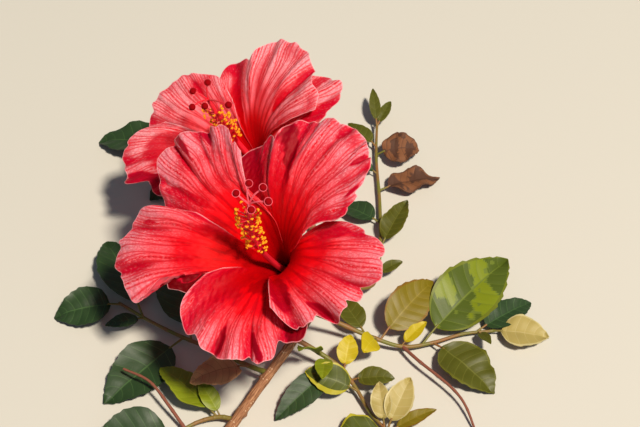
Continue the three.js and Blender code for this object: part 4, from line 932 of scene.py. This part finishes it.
for name, column in COLUMNS.items():
    seat = BLOOM_SEATS[name]
    line = Line(column["line"])
    chance = np.random.default_rng(31 + len(name))
    parts = [bloom_part(seat, tube(line, column_radius, sides=24, steps=90, relief=column_relief))]
    anthers = []
    for k in range(STAMENS):
        up = FIRST_STAMEN + STAMEN_STRETCH * (k + chance.uniform(*STAMEN_SHIFT)) / STAMENS
        turn = k * SPIRAL_TURN + chance.uniform(*STAMEN_TURN)
        root, way = line.at(up), line.ahead(up)
        turn = turn - SIDE_BANDS / 2 * math.sin(2 * turn) - LEFT_CROWD * math.sin(turn)
        across = unit(np.cross(way, [0.3, 1.0, 0.1]))
        out = across * math.cos(turn) + np.cross(way, across) * math.sin(turn)
        out = unit(out + way * chance.uniform(*THREAD_LEAN))
        length = chance.uniform(*THREAD_LENGTH) * (0.88 + 0.12 * math.cos(turn))
        tip = root + out * length + way * chance.uniform(0, THREAD_RISE)
        thread = Line([root, root + out * length * 0.5 + way * THREAD_SAG, tip])
        parts.append(bloom_part(seat, tube(thread, taper(*THREAD_TAPER), sides=5, steps=7)))
        basis = np.stack([unit(np.cross(out, way)), unit(np.cross(out, np.cross(out, way))), out])
        anther = ball(tip, basis * chance.uniform(*ANTHER_SIZE), sides=12, rings=8, bend=kidney)
        anthers.append(bloom_part(seat, anther))
    end, before = line.at(1.0), line.at(0.97)
    for stigma in np.array(column["stigmas"], float):
        style = Line([before, end, end * 0.55 + stigma * 0.45 + STYLE_RISE, stigma])
        skin = tube(style, taper(*STYLE_TAPER), sides=8, steps=24)
        parts.append(bloom_part(seat, skin, 1 if name == "front" else 0))
        way = unit(style.ahead(1.0) * 0.3 + bloom_turn(seat) @ STIGMA_FACES)
        across = unit(np.cross(way, [0.2, 1.0, 0.1]))
        basis = np.stack([across, np.cross(way, across), way])
        collar = ball(stigma, basis * COLLAR_SHAPE, sides=24, rings=8)
        dome = ball(stigma + way * DOME_LIFT, basis * DOME_SHAPE, sides=20, rings=10)
        parts += [bloom_part(seat, collar, 2), bloom_part(seat, dome, 2)]
        # A thin pale ring round a front stigma, turned to the front: the hairy collar, partly a painted halo
        # of light.
        if name == "front":
            radius, height, thick = HOOP
            around = np.linspace(0, math.tau, 17)
            hoop = np.stack([radius * np.cos(around), radius * np.sin(around), height + 0 * around], -1)
            skin = tube(Line(hoop @ basis + stigma), taper(thick, 0), sides=6, steps=40)
            parts.append(bloom_part(seat, skin, 1))
    made = mesh_piece(name + "_stamen_column", parts, [column_red, style_pink, velvet])
    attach(made, "root")
    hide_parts(name + "_column")
    made = mesh_piece(name + "_anthers", anthers, [pollen])
    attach(made, "root")


# The leafy shoots: green to brown side shoots on which the branch lies, with stalked oval leaves, toothed
# towards the tip, folded up along the midrib and quilted between the side veins. Their tints run from
# dark green through olive, lime and gold to cream, and a few leaves are dry and brown; one dry leaf that
# lies in shade is painted a lighter tan, as painted light.
SHOOT_FOOT = 1.3
SHOOT_TIP = 0.7
TWIG_TAPER = (0.9, 0.35)
JOINT_SWELL = 0.12  # how much a shoot or twig swells at its leaf joints
SHOOT_JOINTS = 40 / math.tau
TWIG_JOINTS = 34 / math.tau
LEAF_STALK = (0.62, 0.17)
SPROUT_STALK = (0.5, 0.15)
PETIOLE_SHARE = 0.16
SPROUT_FROM = 0.25  # along the shoot, over a stretch of 0.7 of it
SPROUT_STRETCH = 0.7
SPROUT_TURN = (0.7, 0.6)  # away from the shoot in radians, at least and what chance may add
SPROUT_REACH = (12, 8)
SPROUT_RISE = (3, 4)
SPROUT_WIDE = (0.36, 0.1)
SPROUT_ARCH = 2
SPROUT_CLEAR = 3.5  # a sprout grows only where it has this much room
GROUND_CLEAR = 0.4  # no leaf comes lower than this
LEAF_THICK = 0.34
LEAF_FOLD = 0.22  # how steeply a leaf's halves rise from its midrib
LEAF_NOD = 0.06
LEAF_OUTLINE = (0.75, 0.8)  # powers that set its widest place towards the stalk and fill its outline
LEAF_TIP_HALF = 0.12
MARGIN_FROM = {True: 0.66, False: 0.9}  # where the margin's colour starts, on an edged leaf and on others
ROLLED = {True: 0.08, False: 0.028}  # how much a dry and a fresh leaf curls, as a share of its width
TOOTH = 0.018  # half a tooth's depth, as a share of the leaf's width
SIDE_VEINS = (0.1, 0.88)  # along the midrib, the first and the last pair
SHORT_LEAF = 18  # up to this length a leaf has three pairs of side veins, and up to the next one five
LONG_LEAF = 30
VEIN_HALF = 0.16
VEIN_SWEEP = 0.13  # how far a side vein runs forward on its way to the margin, as a share of the length
QUILT = (-0.12, 0.2)  # how deep the side veins lie, and how high the tissue between them stands
SHOOTS = [
    {
        "name": "right_shoot",
        "route": [[21, 24, 19.5], [32, 26, 13], [43, 32, 7], [48, 55, 4], [49, 90, 3.5], [48, 125, 4],
                  [49, 150, 6]],
        "leaves": [
            (0.38, [63, 84, 14], 13, 3, -10, "olive"), (0.5, [27, 92, 1], 15, 4, 8, "dark"),
            (0.66, [82, 112, 1], 17, 5, -8, "dry"), (0.84, [72, 128, 7], 18, 6, 20, "dry"),
            (0.88, [33, 150, 5], 9, 3, 0, "olive"), (0.98, [47, 171, 12], 6, 2, 0, "olive"),
            (0.98, [57, 164, 9], 6, 2, 0, "olive"),
        ],
        "twigs": [], "sprouts": 2, "seed": 11,
    },
    {
        "name": "outer_right_shoot",
        "route": [[13.5, 4, 21.3], [26, 2, 15], [42, -2, 9], [58, -5, 5], [72, -2, 4], [88, 4, 3.5],
                  [104, 6, 3.5]],
        "leaves": [
            (0.38, [74, 30, 13], 20, 6, 25, "gold"), (0.36, [38, -16, 15], 11, 5, -30, "yellow"),
            (0.3, [27, 22, 9], 12, 3, 0, "olive"), (0.6, [113, 48, 8], 31, 9, 12, "green"),
            (0.66, [101, -30, 1], 25, 6, -6, "olive"), (0.98, [130, 2, 3], 19, 3, 0, "cream"),
            (0.9, [124, 26, 1], 15, 4, 5, "dark"),
        ],
        "twigs": [[0.5, [64, -14, 7], [84, -36, 6], [91, -54, 1.2]]], "sprouts": 3, "seed": 23,
    },
    {
        "name": "lower_right_shoot",
        "route": [[5, -9, 17], [16, -14, 13], [27, -20, 8], [35, -31, 5], [41, -43, 3.5], [50, -54, 3]],
        "leaves": [
            (0.22, [7, -22, 25], 12, 4, 40, "lime"), (0.6, [10, -25, 12], 15, 4, -25, "edged"),
            (0.42, [32, -6, 16], 10, 3, 10, "yellow"), (0.5, [53, -26, 8], 11, 3, 0, "olive"),
            (0.94, [45, -33, 15], 10, 3, -15, "cream"), (0.97, [60, -31, 15], 13, 4, 10, "cream"),
            (0.99, [72, -44, 8], 7, 3, 0, "gold"), (0.97, [24, -62, 2], 23, 6, 6, "edged"),
            (0.36, [-4, -46, 2], 14, 5, -12, "dark"), (0.99, [70, -74, 1], 20, 5, 0, "green"),
        ],
        "twigs": [], "sprouts": 1, "seed": 37,
    },
    {
        "name": "lower_left_shoot",
        "route": [[-22, -48, 5], [-30, -46, 4.5], [-40, -48, 3.5], [-50, -54, 3]],
        "leaves": [
            (0.3, [-60, -18, 6], 18, 5, 15, "lime"), (0.9, [-90, -62, 1], 27, 6, -5, "dark"),
            (0.96, [-58, -84, 1], 20, 5, 5, "dark"),
        ],
        "twigs": [[0.85, [-54, -42, 8], [-64, -30, 11], [-77, -22, 10]]], "sprouts": 1, "seed": 41,
    },
    {
        "name": "left_shoot",
        "route": [[-7, -25, 10], [-16, -20, 9], [-34, -8, 6], [-52, 2, 4.5], [-68, 12, 4], [-84, 24, 3]],
        "leaves": [
            (0.12, [-44, -35, 17], 14, 7, -20, "tan"), (0.55, [-86, -36, 1], 27, 2, -5, "dark"),
            (0.5, [-58, 50, 3], 26, 7, 8, "dark"), (0.82, [-94, 66, 1], 26, 8, 10, "dark"),
            (0.98, [-116, 16, 1], 22, 6, -8, "dark"), (0.3, [-14, 18, 7], 15, 4, 0, "dark"),
        ],
        "twigs": [], "sprouts": 2, "seed": 53,
    },
    {
        "name": "back_shoot",
        "route": [[-5, 98, 2], [-12, 106, 3], [-26, 118, 5], [-44, 128, 4], [-62, 132, 3]],
        "leaves": [
            (0.95, [-106, 140, 1], 27, 8, 8, "dark"), (0.6, [-74, 96, 1], 22, 7, -8, "dark"),
            (0.66, [-40, 166, 4], 25, 8, 10, "olive"), (0.3, [10, 150, 3], 24, 8, 0, "olive"),
            (0.14, [30, 118, 1], 18, 5, -10, "dark"),
        ],
        "twigs": [], "sprouts": 1, "seed": 67,
    },
]

# Leaf blade: tough, with a low gloss. The veins are paler than a fresh blade and darker than a dry one.
# Blade, vein and margin of each tint are plain colours of their own.
TINTS = {
    "dark": ("#263c1e", "#3c582e", "#263c1e"),
    "olive": ("#4a4c0c", "#5e6020", "#5a5a12"),
    "green": ("#465412", "#5e6c20", "#626a16"),
    "lime": ("#6e7a0c", "#808a20", "#7a8416"),
    "gold": ("#70620a", "#80701c", "#745408"),
    "yellow": ("#ae9c0c", "#b8a828", "#ae9c0c"),
    "cream": ("#a09052", "#ac9e68", "#b6aa78"),
    "edged": ("#464e10", "#5c6420", "#a09822"),
    "dry": ("#74492c", "#4c2f20", "#5c3a26"),
    # The dry leaf's colours painted lighter, as painted light for a leaf that lies in shade.
    "tan": ("#a87850", "#8a6040", "#b88a60"),
}
# Green leaves are variegated along the midrib with the lime tint's blade, and dry ones blotched with their
# veins' brown. Blade, vein and margin are parts 0, 1 and 2: a blotch has the first part named, and the
# narrow band round it the second.
BLOTCHES = {"green": ("lime", 0, 1), "dry": ("dry", 1, 2)}
BLOTCH_EDGES = (-0.35, -0.15)
DRY_TINTS = ("dry", "tan")
LEAF_LOOKS = []
for tint, codes in TINTS.items():
    for part, code in zip(("blade", "vein", "margin"), codes):
        made, tree = new_material(f"{tint}_leaf_{part}", Base_Color=colour(code),
                                  Roughness=0.75 if tint in DRY_TINTS else 0.5, Specular_IOR_Level=0.35)
        # Leathery skin: a fine unevenness about 0.8 mm across, that breaks up the gloss.
        leather = {"Height": grain(tree, 0.8, Detail=3), "Strength": 0.25, "Distance": 0.2 * MM}
        add(tree, "Bump", leather, to="Normal")
        LEAF_LOOKS.append(made)


def leaf_rows(length, finer):
    """Places along a leaf, how far its teeth stand out at each, and whether a vein fills each gap."""
    steps = 6 if finer else 3
    stops, saw, on_vein = [0.0], [0.5], []
    for place in np.linspace(*SIDE_VEINS, 7 if length > LONG_LEAF else 5 if length > SHORT_LEAF else 3):
        before = stops[-1]
        stops += [before + (place - before) * step / steps for step in range(1, steps)]
        stops += [place - VEIN_HALF / length, place + VEIN_HALF / length]
        saw += [step / steps for step in range(1, steps)] + [1, 1]
        on_vein += [False] * steps + [True]
    return np.array([*stops, 0.94, 1.0]), np.array([*saw, 0.5, 0.5]), np.array([*on_vein, False, False])


def leaf_part(root, tip, wide, arch, roll, tint, seed):
    """A leaf's blade, (points, faces, looks), and the line that its stalk follows."""
    tip = np.array(tip, float)
    middle = (root + tip) / 2 + [0, 0, arch]
    length = np.linalg.norm(tip - root)
    stops, saw, on_vein = leaf_rows(length, tint in BLOTCHES)
    stops, saw = stops[:, None], saw[:, None]
    inner = np.linspace(0.03, 0.84, 16) if tint in BLOTCHES else np.linspace(0.03, 0.62, 5)
    left_margin, right_margin = MARGIN_FROM[tint == "edged"], MARGIN_FROM[False]
    t = np.array([-1, -left_margin, *-inner[::-1], *inner, right_margin, 1])[None, :]
    s = stops + VEIN_SWEEP * np.abs(t) ** 1.3 * smooth(0, 0.15, stops) * (1 - smooth(0.7, 1.0, stops))
    belly, fullness = LEAF_OUTLINE
    half = wide / 2 * np.sin(math.pi * np.clip(s, 0, 1) ** belly) ** fullness + LEAF_TIP_HALF
    v = (PETIOLE_SHARE + (1 - PETIOLE_SHARE) * s)[..., None]
    spine = (1 - v) ** 2 * root + 2 * v * (1 - v) * middle + v**2 * tip
    ahead = unit((1 - v) * (middle - root) + v * (tip - middle))
    side = unit(np.cross(ahead, [0, 0, 1.0]))
    side = side * math.cos(math.radians(roll)) + np.cross(ahead, side) * math.sin(math.radians(roll))
    face = np.cross(side, ahead)
    teeth = TOOTH * (2 * saw - 1) * (np.abs(t) == 1) * smooth(0.25, 0.5, s) * wide
    out = half * t + np.sign(t) * teeth * (half > wide * 0.12)
    at_vein = (np.append(True, on_vein) | np.append(on_vein, True))[:, None]
    quilt = np.where(at_vein, *QUILT) * np.abs(t) ** 0.4 * (1 - np.abs(t) ** 3) * min(wide / 16, 1.3)
    lay = np.stack([s * length + 0 * t, out], -1)
    waves = wide * ROLLED[tint in DRY_TINTS] * swell(lay, length * 0.4, seed) * (0.3 + np.abs(t) ** 2)
    nod = LEAF_NOD * wide * smooth(0.75, 1, s) * (1 - np.abs(t))
    lift = LEAF_FOLD * half * np.abs(t) + quilt + waves - nod
    grid = spine + side * out[..., None] + face * lift[..., None]
    grid[..., 2] = np.maximum(grid[..., 2], GROUND_CLEAR)
    points, faces = sheet(grid, LEAF_THICK)

    looks = np.zeros((grid.shape[0] - 1, grid.shape[1] - 1), int)
    looks[:, [0, -1]] = 2
    looks[on_vein, 1:-1] = 1
    looks[:, looks.shape[1] // 2] = 1
    base = 3 * list(TINTS).index(tint)
    if tint in BLOTCHES:
        other, part, between = BLOTCHES[tint]
        mottle = swell(lay, 0.35 * length, seed + 3) + 0.3 * swell(lay, 0.1 * length, seed + 4)
        mottle = mottle[:-1, :-1] - 0.5 * np.abs(t[:, :-1] + t[:, 1:])
        blade = looks == 0
        looks[blade & (mottle > BLOTCH_EDGES[0])] = between
        looks[blade & (mottle > BLOTCH_EDGES[1])] = 3 * list(TINTS).index(other) + part - base
    rim = np.concatenate([looks[0], looks[:, -1], looks[-1, ::-1], looks[::-1, 0]])
    stalk = Line([root, (root * 3 + middle * 2) / 5, 0.64 * root + 0.32 * middle + 0.04 * tip])
    return (points, faces, base + np.concatenate([looks.ravel(), looks.ravel(), rim])), stalk


def seeded(seed):
    """The same sequence of numbers from 0 to 1 for the same seed, as the solids' rule has it."""
    state = seed
    while True:
        state = state * 16807 % 2147483647
        yield state / 2147483647


def drawn(chance, least, more):
    return least + more * next(chance)


def joint_swell(u, joints):
    return JOINT_SWELL * max(0, math.sin(joints * math.tau * u)) ** 8


def shoot_radius(u):
    return (SHOOT_FOOT + (SHOOT_TIP - SHOOT_FOOT) * u) * (1 + joint_swell(u, SHOOT_JOINTS))


def twig_radius(u):
    return taper(*TWIG_TAPER)(u) + joint_swell(u, TWIG_JOINTS)


# Shoot skin: satin green that browns on places, with fine ridges.
shoot_skin, tree = new_material("shoot_skin", Roughness=0.55)
browning = add(tree, "MapRange", {"Value": grain(tree, 9, Detail=3), "From Min": 0.4, "From Max": 0.6})
add(tree, "Mix", [browning, colour("#6c6a24"), colour("#865a30")], to="Base Color", data_type="RGBA")
ridges = grain(tree, 0.4, Detail=4)
add(tree, "Bump", {"Height": ridges, "Strength": 0.4, "Distance": 0.1 * MM}, to="Normal")
# Bare twig: red-brown, dry and dull.
twig_bark, tree = new_material("red_brown_twig", Base_Color=colour("#7c4634"), Roughness=0.8)
ridges = grain(tree, 0.4, Detail=4)
add(tree, "Bump", {"Height": ridges, "Strength": 0.6, "Distance": 0.2 * MM}, to="Normal")

wood_spots = WOOD.at(np.linspace(0, 1, 121))
stalk_spots = np.concatenate([[below(seat, k) for k in range(0, 33, 2)] for seat in BLOOM_SEATS.values()])
taken = {"wood": [wood_spots], "stalks": [stalk_spots]}
grown = []
for shoot in SHOOTS:
    start, *rest = (np.array(point, float) for point in shoot["route"])
    line = Line([WOOD.at(nearest_on_wood(start)), *rest])
    stems = [(*tube(line, shoot_radius, sides=12, steps=110), 0)]
    leaves = []
    for k, (at, *leaf) in enumerate(shoot["leaves"]):
        blade, stalk_line = leaf_part(line.at(at), *leaf, shoot["seed"] + k)
        leaves.append(blade)
        stems.append((*tube(stalk_line, taper(*LEAF_STALK), sides=8, steps=8), 0))
    for at, *route in shoot["twigs"]:
        twig_line = Line([line.at(at), *route])
        stems.append((*tube(twig_line, twig_radius, sides=10, steps=70), 1))
    taken[shoot["name"]] = [part[0] for part in stems + leaves]
    grown.append((shoot, line, stems, leaves))

for shoot, line, stems, leaves in grown:
    chance = seeded(shoot["seed"])
    for k in range(shoot["sprouts"]):
        at = SPROUT_FROM + SPROUT_STRETCH * (k + next(chance)) / shoot["sprouts"]
        root, way = line.at(at), line.ahead(at)
        turn = (1 if k % 2 else -1) * drawn(chance, *SPROUT_TURN)
        reach = drawn(chance, *SPROUT_REACH)
        turned = np.array([way[0] * math.cos(turn) - way[1] * math.sin(turn),
                           way[0] * math.sin(turn) + way[1] * math.cos(turn), way[2]])
        tip = root + turned * reach
        tip[2] = root[2] + drawn(chance, *SPROUT_RISE)
        wide = reach * drawn(chance, *SPROUT_WIDE)
        tint = shoot["leaves"][k % len(shoot["leaves"])][-1]
        blade, stalk_line = leaf_part(root, tip, wide, SPROUT_ARCH, 0, tint, shoot["seed"] + 50 + k)
        others = [spots for owner, spots in taken.items() if owner != shoot["name"]]
        others = np.concatenate([points for spots in others for points in spots])
        gap = min(np.linalg.norm(others - p, axis=1).min() for p in blade[0][::3])
        if gap > SPROUT_CLEAR:
            leaves.append(blade)
            stems.append((*tube(stalk_line, taper(*SPROUT_STALK), sides=8, steps=6), 0))
            taken[shoot["name"]].append(blade[0])
    twigs = mesh_piece(shoot["name"] + "_twigs", stems, [shoot_skin, twig_bark])
    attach(twigs, "root")
    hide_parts(shoot["name"])
    foliage = mesh_piece(shoot["name"] + "_leaves", leaves, LEAF_LOOKS)
    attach(foliage, "root")
    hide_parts(shoot["name"])


# The studio: a plain pale floor, a soft key light high on the right and a camera that looks down on the
# branch as the photograph does.
CAMERA_PLACE = (0.0102, -0.49299, 0.59603)
CAMERA_TILT = 42
CAMERA_LENS = 84.68
LAMPS_AIM = (0, 0, 0.05)
FLOOR_HALF = 3
corners = [(x * FLOOR_HALF, y * FLOOR_HALF, 0) for x, y in ((-1, -1), (1, -1), (1, 1), (-1, 1))]
floor_mesh = bpy.data.meshes.new("floor")
floor_mesh.from_pydata(corners, [], [(0, 1, 2, 3)])
floor = bpy.data.objects.new("floor", floor_mesh)
bpy.context.scene.collection.objects.link(floor)
floor_paint, tree = new_material("pale_floor", Base_Color=colour("#c4c1b8"), Roughness=0.9)
floor_mesh.materials.append(floor_paint)

for label, place, size, power, tint in (
    ("key_light", (1.5, -1.7, 4.25), 0.5, 350.0, "#fff4e2"),
    ("fill_light", (0.7, -0.9, 1.0), 1.2, 1.4, "#d4e0ff"),
):
    lamp = bpy.data.lights.new(label, "AREA")
    lamp.size = size
    lamp.energy = power
    lamp.color = colour(tint)[:3]
    holder = bpy.data.objects.new(label, lamp)
    holder.location = place
    holder.rotation_euler = (Vector(LAMPS_AIM) - Vector(place)).to_track_quat("-Z", "Y").to_euler()
    bpy.context.scene.collection.objects.link(holder)
world = bpy.data.worlds.new("studio")
world.use_nodes = True
world.node_tree.nodes["Background"].inputs["Color"].default_value = colour("#c6d2e6")
world.node_tree.nodes["Background"].inputs["Strength"].default_value = 0.2
bpy.context.scene.world = world

lens = bpy.data.cameras.new("camera")
lens.sensor_width = 36
lens.lens = CAMERA_LENS
camera = bpy.data.objects.new("camera", lens)
camera.location = CAMERA_PLACE
camera.rotation_euler = (math.radians(CAMERA_TILT), 0, 0)
bpy.context.scene.collection.objects.link(camera)
bpy.context.scene.camera = camera
bpy.context.scene.view_settings.view_transform = "Standard"
